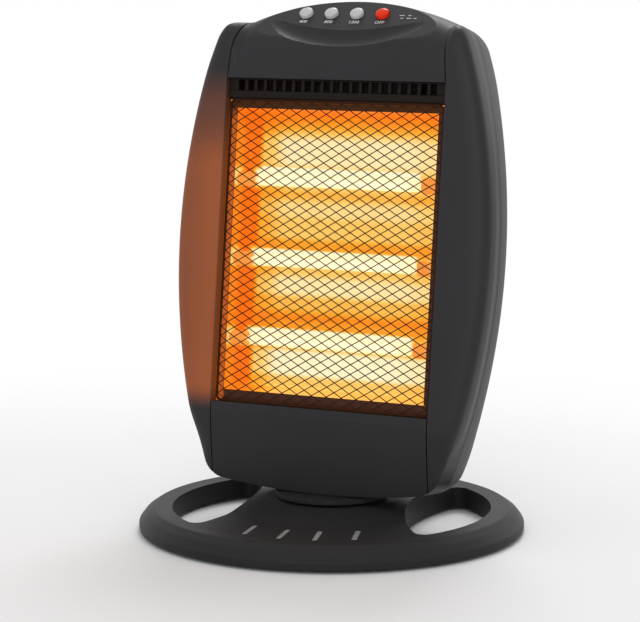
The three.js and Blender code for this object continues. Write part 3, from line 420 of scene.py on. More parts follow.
class Graph:
    """The node tree of a material or a world, built from one node method."""

    def __init__(self, owner: bpy.types.ID) -> None:
        """Starts with an empty tree."""
        owner.use_nodes = True
        self.owner, self.tree = owner, owner.node_tree
        self.tree.nodes.clear()

    def node(self, kind: str, settings: dict[str, Any], values: dict[Any, Any],
             out: Any = 0) -> Sock:
        """Adds a node.

        Args:
            kind: The node's type.
            settings: Its properties, set first; the stops of a ramp go by the word stops.
            values: Values or sockets, by the name or number of the input.
            out: The name or number of the output.

        Returns:
            The output socket, wrapped.
        """
        made = self.tree.nodes.new(kind)
        for word, value in settings.items():
            if word == "stops":
                self._stops(made.color_ramp, value)
            else:
                setattr(made, word, value)
        for word, value in values.items():
            if isinstance(value, Sock):
                self.tree.links.new(value.socket, made.inputs[word])
            else:
                made.inputs[word].default_value = value
        return Sock(self, made.outputs[out])

    @staticmethod
    def _stops(ramp: bpy.types.ColorRamp, stops: Sequence[tuple[float, Colour]]) -> None:
        """Sets a ramp's stops."""
        while len(ramp.elements) < len(stops):
            ramp.elements.new(1.0)
        for element, (spot, colour) in zip(ramp.elements, stops):
            element.position, element.color = spot, (*colour, 1.0)

    def seen_by(self, *kinds: str) -> Sock:
        """1 for rays of some kinds and 0 for all others."""
        first, *rest = (self.node("ShaderNodeLightPath", {}, {}, f"Is {kind} Ray")
                        for kind in kinds)
        for other in rest:
            first = first.top(other)
        return first

    def close(self, shader: Sock, owner: str = "Material") -> bpy.types.ID:
        """Ends the tree with a shader."""
        output = self.tree.nodes.new("ShaderNodeOutput" + owner)
        self.tree.links.new(shader.socket, output.inputs["Surface"])
        return self.owner


class Shader(Graph):
    """A material's tree, on object coordinates."""

    def __init__(self, name: str) -> None:
        """Starts an empty material."""
        super().__init__(bpy.data.materials.new(name))
        self.place = self.node("ShaderNodeTexCoord", {}, {}, "Object")

    def axes(self) -> tuple[Sock, Sock, Sock]:
        """The object coordinates x, y and z in metres."""
        split = self.node("ShaderNodeSeparateXYZ", {}, {0: self.place})
        outputs = split.socket.node.outputs
        return tuple(Sock(self, outputs[i]) for i in range(3))

    def head_axes(self) -> tuple[Sock, Sock, Sock]:
        """The head's own axes in millimetres: across, behind the front and up the lean."""
        x, y, z = self.axes()
        c, s = HEAD.matrix[1][1], HEAD.matrix[1][2]
        dy, dz = y * 1000 - HEAD.offset[1], z * 1000 - HEAD.offset[2]
        return x * 1000, dy * c - dz * s, dy * s + dz * c

    def noise(self, scale: float, detail: float = 3, rough: float = 0.5,
              stretch: Colour = (1, 1, 1)) -> Sock:
        """Noise of a scale, on stretched object coordinates."""
        at = self.node("ShaderNodeVectorMath", {"operation": "MULTIPLY"},
                       {0: self.place, 1: stretch})
        return self.node("ShaderNodeTexNoise", {}, {"Vector": at, "Scale": scale, "Detail": detail,
                                                     "Roughness": rough})

    def cells(self, scale: float) -> Sock:
        """Distance to the nearest point of a cell pattern."""
        return self.node("ShaderNodeTexVoronoi", {}, {"Vector": self.place, "Scale": scale})

    def mix(self, share: Any, first: Any, second: Any) -> Sock:
        """Mixes two colours."""
        as_colour = [value if isinstance(value, Sock) else (*value, 1.0)
                     for value in (first, second)]
        return self.node("ShaderNodeMix", {"data_type": "RGBA"},
                         {0: share, 6: as_colour[0], 7: as_colour[1]}, 2)

    def tint(self, share: Sock, colour: Colour, low: float, high: float) -> Sock:
        """A colour that runs from one factor of its lightness to another with a share."""
        return self.mix(share, shade(colour, low), shade(colour, high))

    def bump(self, height: Sock, distance: float, strength: float = 1.0) -> Sock:
        """A normal from a height that is 1 at some metres."""
        return self.node("ShaderNodeBump", {},
                         {"Height": height, "Distance": distance, "Strength": strength})

    def surface(self, values: dict[str, Any], glow: Sock | None = None) -> bpy.types.Material:
        """Ends the tree with one principled shader of some values, which may glow in a colour."""
        if glow is not None:
            values |= {"Emission Color": glow, "Emission Strength": 1.0}
        return self.close(self.node("ShaderNodeBsdfPrincipled", {}, values))


def shade(colour: Colour, by: float) -> Colour:
    """A colour made lighter or darker by a factor."""
    return tuple(min(1.0, channel * by) for channel in colour)


# ---- finishes ----
@dataclass(frozen=True)
class Moulding:
    """Moulded plastic: faint cloudiness, a fine eroded grain and an uneven sheen."""

    name: str
    colour: Colour
    roughness: float = 0.42
    specular: float = 0.35
    painted_glow: bool = False
    glint: bool = False

    def make(self) -> bpy.types.Material:
        """Builds the material.

        One kind has the lit window's orange light painted on its left wing as a glow, and the
        glinting one has a thin line of light painted under its rail.
        """
        s = Shader(self.name)
        cloud, fine, grain = s.noise(11, 3), s.noise(420, 3, 0.6), s.noise(1900, 2)
        values: dict[str, Any] = {
            "Base Color": s.tint(cloud * 0.7 + fine * 0.3, self.colour, 0.82, 1.18),
            "Roughness": cloud * 0.1 + fine * 0.1 + (self.roughness - 0.1),
            "Specular IOR Level": self.specular,
            "Normal": s.bump(grain * 0.7 + fine * 0.3, 0.00006, 0.4),
        }
        glow = None
        x, depth, z = s.head_axes()
        # Painted light: the lit window's orange cast on the left wing, as a glow that fades back
        # and out.
        if self.painted_glow:
            lit = z.rise(385, 340) * 0.35 + z.rise(345, 285) * 0.65
            lit = z.rise(68, 92) * lit * x.rise(-106, -110)
            fade = (1 - 0.3 * x.rise(-112, -152)) * (1 - 0.85 * depth.rise(12, 36))
            glow = s.mix(lit * fade * (0.85 + 0.3 * cloud), (0, 0, 0), (0.275, 0.060, 0.004))
        # Painted light: a thin lit line and a faint wash of light under the rail, as a glow.
        if self.glint:
            uneven = 0.35 + s.noise(150, 2, 0.5, (1, 0.1, 0.1))
            line = z.band(351.6, 0.5, 0.5) * depth.rise(6, 7) * uneven
            light_wash = z.rise(353, 349) * depth.rise(6, 7) * 0.06
            glow = s.mix((line + light_wash).low(1.0), (0, 0, 0), (0.80, 0.24, 0.03))
        return s.surface(values, glow)


@dataclass(frozen=True)
class Metal:
    """Sheet or wire metal with streaks along one way and small marks."""

    name: str
    colour: Colour
    roughness: float = 0.35
    metallic: float = 0.9
    stretch: Colour = (0.05, 1, 1)

    def make(self) -> bpy.types.Material:
        """Builds the material."""
        s = Shader(self.name)
        streak, marks = s.noise(700, 4, 0.6, self.stretch), s.noise(60, 4)
        return s.surface({
            "Base Color": s.tint(marks, self.colour, 0.75, 1.2),
            "Metallic": self.metallic,
            "Roughness": streak * 0.16 + marks * 0.1 + (self.roughness - 0.1),
            "Normal": s.bump(streak, 0.00004, 0.6),
        })


@dataclass(frozen=True)
class Powder:
    """Ceramic, rubber or paint: a dull surface with fine pits, and on some a painted glow of light.
    """

    name: str
    colour: Colour
    roughness: float = 0.7
    pits: float = 700
    painted_glow_colour: Colour = (0, 0, 0)
    specular: float = 0.4

    def make(self) -> bpy.types.Material:
        """Builds the material."""
        s = Shader(self.name)
        cloud, pit = s.noise(40, 3), s.cells(self.pits)
        values: dict[str, Any] = {
            "Base Color": s.tint(cloud, self.colour, 0.84, 1.12),
            "Roughness": cloud * 0.12 + (self.roughness - 0.06),
            "Specular IOR Level": self.specular,
            "Normal": s.bump(pit, 0.00005, 0.5),
        }
        # Painted light: the tubes' orange light on the piece, shown as a glow.
        painted_glow = s.tint(cloud, self.painted_glow_colour, 0.7, 1.2)
        return s.surface(values, painted_glow if any(self.painted_glow_colour) else None)


@dataclass(frozen=True)
class Enamel:
    """Dark enamelled sheet round the window, with the burner's light painted on, most on its left
    strip.
    """

    name: str
    colour: Colour
    lit: Colour

    def make(self) -> bpy.types.Material:
        """Builds the material from the head's own axes."""
        s = Shader(self.name)
        x, _, z = s.head_axes()
        cloud, pit, streak = s.noise(60, 3), s.cells(900), s.noise(120, 3, 0.6, (1, 1, 3))
        # Painted light: the burner's glow on the sheet, strongest on the left strip and faint
        # elsewhere.
        left = x.rise(-98, -101) * z.rise(350, 330)
        share = left * (0.35 + streak) + 0.06
        return s.surface({
            "Base Color": s.tint(cloud, self.colour, 0.8, 1.2),
            "Roughness": cloud * 0.12 + 0.42,
            "Specular IOR Level": 0.25,
            "Normal": s.bump(pit, 0.00005, 0.5),
        }, s.mix(share.low(1.0), (0, 0, 0), self.lit))


@dataclass(frozen=True)
class CapGloss:
    """Glossy push cap: even colour under a clear coat with faint handling marks."""

    name: str
    colour: Colour

    def make(self) -> bpy.types.Material:
        """Builds the material."""
        s = Shader(self.name)
        cloud, marks = s.noise(120, 3), s.noise(900, 3)
        return s.surface({
            "Base Color": s.tint(cloud, self.colour, 0.9, 1.06),
            "Roughness": marks * 0.12 + 0.24,
            "Specular IOR Level": 0.12,
            "Coat Weight": 0.04,
            "Coat Roughness": 0.15,
            "Normal": s.bump(marks, 0.00003, 0.4),
        })


@dataclass(frozen=True)
class LitSheet:
    """Reflector sheet with its tubes' light painted on: orange, paler in bands behind and under
    each tube.
    """

    name: str
    floor: float = 0.58
    bands: tuple[tuple[int, float, float, float, float], ...] = (
        (0, 27, 7, 15, 0.30), (0, -12, 1, 5, -0.14), (1, 47, 3, 8, 0.15), (1, 14, 2, 8, -0.30),
        (1, -23, 4, 9, 0.26), (1, -44, 8, 6, -0.10), (2, 17, 3, 12, -0.32), (2, -21, 8, 7, 0.40))
    stops: tuple[tuple[float, Colour], ...] = (
        (0.00, (0.96, 0.150, 0.006)), (0.16, (0.97, 0.245, 0.011)), (0.36, (0.98, 0.395, 0.030)),
        (0.60, (0.99, 0.590, 0.135)), (0.80, (1.00, 0.750, 0.330)), (1.00, (1.00, 0.930, 0.600)))

    def make(self) -> bpy.types.Material:
        """Builds the material from the head's own axes.

        The tubes' light is painted on: a level from deep orange to cream starts even on the floor,
        where each band (tube, height over it, half width, soft edge, gain) adds or takes some. It
        falls at the top and is low on the cheeks. The tray's outside, which lies behind its inner
        face, is bare metal.
        """
        s = Shader(self.name)
        x, depth, z = s.head_axes()
        speckle, cloud = s.noise(330, 2, 0.7), s.noise(26, 3)
        top, middle, bottom = TUBES
        # Painted light: halos round the tubes, bands on the floor and spots on the cheeks stand for
        # the tubes' light on the sheet.
        halo = z.band(top + 4, 7.5, 4) + z.band(middle + 2, 6.5, 4) + z.band(bottom + 2, 6.5, 4)
        halo = halo * x.rise(72, 63)
        floor: Any = self.floor
        for tube, above, half, soft, gain in self.bands:
            floor = floor + z.band(TUBES[tube] + above, half, soft) * gain
        floor = (floor - z.rise(317, 344) * 0.50) * (0.62 + 0.38 * x.rise(-88, -66))
        floor = floor * (1 - 0.12 * x.rise(50, 80))
        wall = depth.rise(45, 36)
        spots = z.band(top + 2, 5, 7) + z.band(middle + 2, 5, 7) + z.band(bottom + 2, 5, 7)
        cheek = depth.rise(24, 15) * (0.14 + spots * 0.5) + depth.rise(38, 46) * 0.2
        cheek = cheek - z.rise(318, 340) * 0.1
        cheek = cheek.top(spots * depth.rise(29, 37) * 0.95)
        sill = z.rise(98, 91) * (0.10 + 0.34 * x.rise(-90, -50))
        level = floor.top(halo) * (1 - wall) + cheek.top(sill) * wall
        level = level + (speckle - 0.5) * 0.10 + (cloud - 0.5) * 0.12
        colour = s.node("ShaderNodeValToRGB", {"stops": self.stops}, {0: level.low(1.0).top(0.0)})
        inside = self.inside(x, depth, z)
        return s.surface({
            "Base Color": s.mix(inside, (0.30, 0.30, 0.31), (0.05, 0.022, 0.008)),
            "Metallic": 1.0, "Roughness": cloud * 0.15 + 0.3,
            "Normal": s.bump(speckle, 0.00012, 0.5),
        }, s.mix(inside, (0, 0, 0), colour))

    def inside(self, x: Sock, depth: Sock, z: Sock) -> Sock:
        """1 on the tray's inner face and 0 on its outer one.

        A point's depth is less than that of the cheeks', the ends' and the floor's inner faces plus
        half a wall, the floor being deep + bowl (1 - (2 d / pitch)^2) at distance d from a tube.
        """
        slope, past = TRAY.deep / TRAY.taper, depth - TRAY.front
        first, second, third = ((z - tube).size() for tube in TUBES)
        near = first.low(second).low(third)
        hollow = ((near * (2 / TRAY.pitch)) ** 2 * -1 + 1).top(0.0) * TRAY.trough
        hollow = hollow * ((x.size() * -1 + (TRAY.half - TRAY.taper)) / 6).low(1.0).top(0.0)
        cheeks = ((x.size() * -1 + TRAY.half) * slope - past).rise(-2.0, -0.8)
        ends = ((z - TRAY.low).low(z * -1 + TRAY.high) * (2 * slope) - past).rise(-3.4, -1.2)
        return cheeks * ends * (hollow + TRAY.deep - past).rise(-0.75, -0.45)


@dataclass(frozen=True)
class Glow:
    """Hot quartz or filament: cream where it is hottest, orange towards its ends."""

    name: str
    hot: Colour
    cool: Colour
    reach: float
    alpha: float = 1.0

    def make(self) -> bpy.types.Material:
        """Builds the material; the turns of the coil show as faint waves along x."""
        s = Shader(self.name)
        x, _, _ = s.head_axes()
        coil = (x * 2.85).wave() * 0.5 + 0.5
        ends = x.size().rise(self.reach - 9, self.reach)
        lit = s.mix(coil * 0.3, self.hot, shade(self.hot, 0.82))
        return s.surface({
            "Base Color": s.mix(coil, (0.30, 0.22, 0.16), (0.42, 0.32, 0.24)),
            "Roughness": coil * 0.05 + 0.12,
            "Alpha": self.alpha,
        }, s.mix(ends, lit, self.cool))


class Finish(Enum):
    """The finishes of the heater, each with its record slot."""

    # The shell carries the lit window's light painted on its left wing.
    SHELL = ("shell_plastic", Moulding("shell_satin", (0.028, 0.0262, 0.0285), 0.46, 0.17, True))
    BACK = ("back_plastic", Moulding("back_matte", (0.075, 0.072, 0.077), 0.58, 0.3))
    BASE = ("base_plastic", Moulding("base_satin", (0.022, 0.021, 0.0228), 0.5, 0.13))
    # The grille carries a line of light painted under its rail.
    GRILLE = ("shell_plastic", Moulding("grille_black", (0.012, 0.0085, 0.0068), 0.5, 0.1,
                                        glint=True))
    INNER = ("inner_plastic", Moulding("inner_black", (0.014, 0.014, 0.016), 0.6, 0.3))
    RUBBER = ("rubber", Powder("foot_rubber", (0.012, 0.012, 0.012), 0.85, 500))
    # The enamel's last colour is the burner's light, painted on as a glow.
    BRONZE = ("bronze_metal", Enamel("bronze_enamel", (0.017, 0.008, 0.005), (0.52, 0.10, 0.010)))
    # The guard coat's last colour is a faint painted glow of the tubes' light.
    WIRE = ("guard_wire", Powder("guard_coat", (0.014, 0.005, 0.002), 0.5, 900,
                                 (0.016, 0.004, 0.0006), 0.1))
    STEEL = ("steel", Metal("plain_steel", (0.42, 0.43, 0.44)))
    # The reflector's colour is the tubes' light, painted on as a glow.
    SHEET = ("reflector_metal", LitSheet("lit_reflector"))
    TUBE = ("quartz", Glow("lit_quartz", (1.0, 0.84, 0.46), (0.97, 0.32, 0.03), 88.0, 0.62))
    COIL = ("quartz", Glow("hot_coil", (1.0, 0.95, 0.78), (1.0, 0.5, 0.1), 74.0))
    CERAMIC = ("ceramic", Powder("white_ceramic", (0.74, 0.70, 0.62), 0.5, 420))
    # A lit copy of the ceramic: an orange-brown base colour and a painted glow stand for the tubes'
    # light on the ends.
    HOLDER = ("ceramic", Powder("lit_ceramic", (0.34, 0.17, 0.07), 0.6, 420,
                                (0.78, 0.235, 0.02), 0.2))
    INLAY = ("cap_grey", Metal("pale_inlay", (0.36, 0.36, 0.37), 0.4, 0.2))
    CAP = ("cap_grey", CapGloss("cap_pale", (0.60, 0.60, 0.61)))
    RED_CAP = ("cap_red", CapGloss("signal_red", (0.86, 0.036, 0.004)))
    PRINT = ("cap_grey", Powder("label_print", (0.62, 0.62, 0.63), 0.6, 1500))

    @property
    def slot(self) -> str:
        """The record's material slot."""
        return self.value[0]

    def material(self) -> bpy.types.Material:
        """The one material of this finish, built when it is first asked for."""
        found = bpy.data.materials.get(self.value[1].name)
        return found or self.value[1].make()


def dress(target: bpy.types.Object, name: str, body: str, finish: Finish, place: Place, *nodes: str,
          smooth: float = 32) -> bpy.types.Object:
    """Places, shades and names one piece, and says what it rides on and stands for.

    Args:
        target: The piece, in its group's millimetres.
        name: Its name.
        body: The body that it rides on.
        finish: Its finish.
        place: Where its group stands.
        nodes: The CAD nodes that it stands for.
        smooth: Greatest angle in degrees that is shaded smooth.

    Returns:
        The piece.
    """
    mesh = remap(target, place.world).data
    mesh.shade_smooth()
    mesh.set_sharp_from_angle(angle=math.radians(smooth))
    mesh.update()
    target.name = mesh.name = name
    mesh.materials.clear()
    mesh.materials.append(finish.material())
    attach(target, body)
    if nodes:
        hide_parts(*nodes)
    LOG.info("%s: %d points on %s", name, len(mesh.vertices), body)
    return target


# ---- the head's form ----
def smoothstep(share: Array) -> Array:
    """3 s^2 - 2 s^3 of a share held between 0 and 1."""
    share = np.clip(share, 0, 1)
    return share * share * (3 - 2 * share)


Circle = tuple[float, float, float]


def fillet(a: Circle, b: Circle, r: float) -> Circle:
    """The circle of radius r that lies inside circles a and b and touches both, left of a to b."""
    ra, rb = a[2] - r, b[2] - r
    dx, dy = b[0] - a[0], b[1] - a[1]
    gap = math.hypot(dx, dy)
    along = (ra * ra - rb * rb + gap * gap) / (2 * gap)
    off = math.sqrt(ra * ra - along * along)
    return a[0] + (dx * along - dy * off) / gap, a[1] + (dy * along + dx * off) / gap, r


def heading(a: Circle, b: Circle) -> float:
    """The angle from the centre of one circle to that of another."""
    return math.atan2(b[1] - a[1], b[0] - a[0])


def arc(circle: Circle, start: float, end: float, steps: int) -> Array:
    """Points of an arc, centre plus radius times (cos, sin), without its last."""
    angle = start + (end - start) * np.arange(steps) / steps
    return np.c_[circle[0] + circle[2] * np.cos(angle), circle[1] + circle[2] * np.sin(angle)]


@dataclass
class HeadForm:
    """The barrel-curved form that all outer pieces of the head are cut from."""

    height: float = 445.8
    half_width: float = 151
    widest: float = 222
    top_r: float = 260
    side_r: float = 600
    bottom_r: float = 700
    shoulder_r: float = 28
    heel_r: float = 24
    parting: float = 43
    deep: float = 91
    land: float = 1.5
    toe: float = 11
    column: float = 107.5
    draw: float = 4
    flat: tuple[float, float] = (69, 375)
    corner: float = 8
    bulge: float = 3.5
    wing: float = 20
    blend: float = 16
    powers: tuple[float, float, float, float] = (4, 2, 1.15, 2.4)
    back_face: tuple[float, float, float, float] = (104, 28, 392, 20)
    wall: float = 2.6
    floor: float = 36.6

    def outline(self, inset: float) -> Array:
        """The front outline: three arcs a side, joined by shoulder and heel fillets."""
        top = (0.0, self.height - self.top_r, self.top_r - inset)
        side = (self.half_width - self.side_r, self.widest, self.side_r - inset)
        bottom = (0.0, self.bottom_r, self.bottom_r - inset)
        heel = fillet(bottom, side, self.heel_r - inset)
        shoulder = fillet(side, top, self.shoulder_r - inset)
        right = np.concatenate([
            arc(bottom, -math.pi / 2, heading(bottom, heel), 16),
            arc(heel, heading(bottom, heel), heading(side, heel), 12),
            arc(side, heading(side, heel), heading(side, shoulder), 52),
            arc(shoulder, heading(side, shoulder), heading(top, shoulder), 12),
            arc(top, heading(top, shoulder), math.pi / 2, 26),
            [[0.0, self.height - inset]],
        ])
        return np.concatenate([right, (right[1:-1] * (-1, 1))[::-1]])

    @staticmethod
    def edge(points: Array, half: float, low: float, high: float,
             corner: float) -> tuple[Array, Array]:
        """Where outline points end on a flat face with round corners, and their way there."""
        core = np.c_[np.clip(points[:, 0], corner - half, half - corner),
                     np.clip(points[:, 1], low + corner, high - corner)]
        facing = points - core
        facing /= np.linalg.norm(facing, axis=1, keepdims=True)
        return core + facing * corner, facing

    def front(self, inset: float) -> bpy.types.Object:
        """The front form: a superellipse from each outline point to the edge of the flat face.

        With t from 0 to 90 degrees and n the point's power, a point is spread from edge to outline
        by sin(t)^(2/n) and lies back by 1 - cos(t)^(2/n) of its depth. The wings swell past the
        outline and ease back to it on the way to the parting line.
        """
        points = self.outline(inset)
        edge, facing = self.edge(points, self.column, *self.flat, self.corner)
        toe = np.maximum(0, -facing[:, 1]) ** 2
        shoulder = np.where(facing[:, 1] > 0,
                            smoothstep((np.abs(points[:, 0]) - self.column) / self.blend + 0.5), 0)
        wing = np.maximum(facing[:, 0] ** 2, shoulder)
        crown = 1 - wing - toe
        full = self.parting - self.land
        widest = points + facing * (self.bulge * wing)[:, None]
        power = self.powers[0] * wing + self.powers[1] * crown + self.powers[2] * toe
        depth = self.wing * wing + (full - self.land) * crown + (self.toe + inset) * toe
        turn = (math.pi / 2) * np.linspace(0, 1, 26)[:, None] ** 1.5
        spread = np.sin(turn) ** (2 / power)
        back = 1 - np.maximum(0, np.cos(turn)) ** (2 / power)
        first = np.stack([edge[:, 0] + (widest - edge)[:, 0] * spread,
                          inset + (depth - inset) * back,
                          edge[:, 1] + (widest - edge)[:, 1] * spread], -1)
        share = np.linspace(0, 1, 7)[1:, None]
        ease = smoothstep(share)
        run = np.stack([widest[:, 0] + (points - widest)[:, 0] * ease,
                        depth + (full - depth) * share,
                        widest[:, 1] + (points - widest)[:, 1] * ease], -1)
        end = np.full(len(points), self.parting + (1 if inset else 0))
        last = np.stack([points[:, 0], end, points[:, 1]], -1)[None]
        return loft("front", np.concatenate([first, run, last]))

    def back(self, inset: float) -> bpy.types.Object:
        """The back form: the outline drawn in to the flat back on a quarter superellipse."""
        points = self.outline(inset)
        edge, _ = self.edge(points, *self.back_face)
        start = self.parting + 0.3
        reach = self.deep - inset - start
        turn = np.linspace(0, math.pi / 2, 22)[:, None]
        power = 2 / self.powers[3]
        hold = np.maximum(0, np.cos(turn)) ** power
        depth = start + reach * np.sin(turn) ** power
        rings = np.stack([edge[:, 0] + (points - edge)[:, 0] * hold,
                          np.broadcast_to(depth, hold.shape[:1] + (len(points),)),
                          edge[:, 1] + (points - edge)[:, 1] * hold], -1)
        if inset:
            lead = np.stack([points[:, 0], np.full(len(points), start - 1), points[:, 1]], -1)
            rings = np.concatenate([lead[None], rings])
        return loft("back", rings)

    def below(self, level: float) -> bpy.types.Object:
        """Everything below a level height, in the head's leaning axes."""
        reach = self.height
        return box((-reach, reach), (-reach, reach), (level - reach, level), HEAD.local)

    def past_facet(self, inset: float) -> bpy.types.Object:
        """Everything in front of the control facet moved in by some distance."""
        reach = self.height
        return box((-reach / 2, reach / 2), (inset - reach, inset), (-reach / 6, reach),
                   FACET.level)

    def scoop(self, grow: float) -> bpy.types.Object:
        """The hollow under the facet's lip: a round cutter swept about an axis of the slope."""
        rise, sag, sweep = np.array([15.5, 10.8]), 2.5, 139.0
        chord = float(np.hypot(*rise))
        r = chord ** 2 / (8 * sag) + sag / 2
        slope = math.atan2(rise[1], rise[0])
        angle = round_angles(64)
        profile = np.c_[sweep - chord / 2 + (r + grow) * np.cos(angle),
                        r - sag + (r + grow) * np.sin(angle)]
        rings = lathe_rings(profile, 160)
        place = tilted(math.degrees(slope) - 90,
                       (0.0, 3.2 + sweep * math.sin(slope), 402.0 + sweep * math.cos(slope)))
        return loft("scoop", mapped(place.level, rings), True)

    def front_column(self, grow: float, low: float, high: float) -> bpy.types.Object:
        """The front column between the seams, drawn in a little towards the crown."""
        w, flat = self.column - 0.5 + grow, self.flat[1]
        end = min(high, self.height + 5)
        right = [(w, low), (w, min(end, flat))]
        if end > flat:
            fall = self.draw * (end - flat) / (self.height - self.shoulder_r - flat)
            right.append((w - fall, end))
        outline = np.array(right + [(-x, z) for x, z in right[::-1]])
        return prism(outline, -5, self.parting + 5, 1)

    def spindle_way(self) -> bpy.types.Object:
        """The way through the floor for the swivel spindle."""
        rings = lathe_rings(np.array([(9.0, self.floor - 50), (9.0, self.floor + 50)]), 48)
        return loft("way", mapped(HEAD.local, rings))


def to_facet(x: float, up: float) -> Callable[[Array], Array]:
    """A rule that stands a z-axis body on the facet at a place: z goes out of the slope."""
    return lambda p: FACET.level(np.c_[p[:, 0] + x, -p[:, 2], p[:, 1] + up])


def to_back(x: float, depth: float, z: float) -> Callable[[Array], Array]:
    """A rule that points a z-axis body backwards at a place of the head."""
    return lambda p: np.c_[p[:, 0] + x, p[:, 2] + depth, z - p[:, 1]]


def to_side(x: float, depth: float, z: float, way: int = 1) -> Callable[[Array], Array]:
    """A rule that lays a z-axis body along x, towards one side."""
    return lambda p: np.c_[way * p[:, 2] + x, p[:, 1] + depth, z - way * p[:, 0]]


# ---- the head's moulded pieces ----
@dataclass
class Housing:
    """Top and bottom panels, two side panels and the back shell, cut from one form."""

    form: HeadForm = field(default_factory=HeadForm)
    window: tuple[float, float] = (77, 372)
    lip: float = 2.4
    lip_depth: float = 12.4
    button_bore: float = 6.75
    grip: tuple[float, float, float, float] = (96, 26, 16, 372)
    louvres: tuple[int, float, float, float, float] = (9, 120, 4, 330, 10)
    gland: tuple[float, float, float] = (62, 44, 7.3)
    edge: float = 0.4

    def hollow(self, *stops: bpy.types.Object) -> bpy.types.Object:
        """The inside of the front form, less the flanges that stop it."""
        return carve(self.form.front(self.form.wall), Carve.CUT, *stops)

    def flange(self, low: float, high: float) -> bpy.types.Object:
        """A bar across the form that keeps a flange behind the front."""
        reach = self.form.half_width
        return box((-reach, reach), (-5, self.lip_depth), (low, high))

    def finish(self, shell: bpy.types.Object, name: str, look: Finish, node: str) -> None:
        """Eases a moulding's edges and dresses it."""
        ease_edges(shell, self.edge)
        even_out(dress(shell, name, "head", look, HEAD, node))

    def top_panel(self) -> None:
        """The crown with the slanted control facet, the hollow under it and four button holes."""
        form, (_, top) = self.form, self.window
        flange = self.flange(top - 5, top + self.lip)
        inside = self.hollow(form.past_facet(form.wall), form.scoop(form.wall), flange)
        shell = carve(form.front(0), Carve.CUT, form.past_facet(0), form.scoop(0), inside)
        carve(shell, Carve.KEEP, form.front_column(0, top, math.inf))
        bores = [remap(rod(self.button_bore, -9, 9), to_facet(x, BUTTON_UP)) for x in BUTTONS]
        carve(shell, Carve.CUT, *bores)
        self.finish(shell, "crown_panel", Finish.SHELL, "front_top_panel")

    def bottom_panel(self) -> None:
        """The plain lower panel, whose foot tucks back to the floor."""
        form, (low, _) = self.form, self.window
        flange = self.flange(low - self.lip, low + 5)
        inside = self.hollow(form.below(form.floor + form.wall), flange)
        shell = carve(form.front(0), Carve.CUT, form.below(form.floor), inside, form.spindle_way())
        carve(shell, Carve.KEEP, form.front_column(0, -20, low))
        self.finish(shell, "lower_panel", Finish.SHELL, "front_bottom_panel")

    def side_panel(self, way: Way) -> None:
        """A wing with a return along the seam and the ledge that the window pieces rest on."""
        form, sign = self.form, way.value
        seam = form.column + 0.5

        def span(near: float, far: float) -> tuple[float, float]:
            """Two distances from the middle as x on this side, in rising order."""
            return tuple(sorted((sign * near, sign * far)))

        rim = box(span(seam - 5, seam + self.lip), (-5, self.lip_depth),
                  (self.window[0] / 2, form.flat[1]))
        inside = self.hollow(form.below(form.floor + form.wall), rim)
        shell = carve(form.front(0), Carve.CUT, form.below(form.floor), inside,
                      form.front_column(1, -25, math.inf))
        carve(shell, Carve.KEEP, box(span(0, 300), (-5, form.parting + 5), (-20, form.height + 5)))
        ledge = box(span(seam - 3, seam + self.lip / 2), (9.9, self.lip_depth - 0.3), (88, 345))
        carve(shell, Carve.JOIN, ledge)
        self.finish(shell, f"{way.word}_wing", Finish.SHELL, f"{way.word}_side_panel")

    def back_shell(self) -> None:
        """The back with louvres, a grip recess and the hole of the cord gland."""
        form, (width, high, deep, centre) = self.form, self.grip

        def recess(grow: float) -> bpy.types.Object:
            """The grip recess, grown all round."""
            outline = rounded_box(width + 2 * grow, high + 2 * grow, high / 3 + grow, 0, centre)
            return prism(outline, form.deep - deep - grow, form.deep + 5, 1)

        inside = carve(form.back(form.wall), Carve.CUT, form.below(form.floor + form.wall),
                       recess(form.wall))
        shell = carve(form.back(0), Carve.CUT, form.below(form.floor), recess(0), inside,
                      form.spindle_way())
        count, wide, tall, first, pitch = self.louvres
        for i in range(count):
            slot = rounded_box(wide, tall, tall / 2.2, 0, first - i * pitch)
            carve(shell, Carve.CUT, prism(slot, form.deep - form.wall - 1, form.deep + 5, 1))
        x, z, r = self.gland
        carve(shell, Carve.CUT, remap(rod(r, -6, 6), to_back(x, form.deep, z)))
        self.finish(shell, "rear_shell", Finish.BACK, "back_shell")

    def build(self) -> None:
        """Builds all five pieces."""
        self.top_panel()
        self.bottom_panel()
        for way in Way:
            self.side_panel(way)
        self.back_shell()


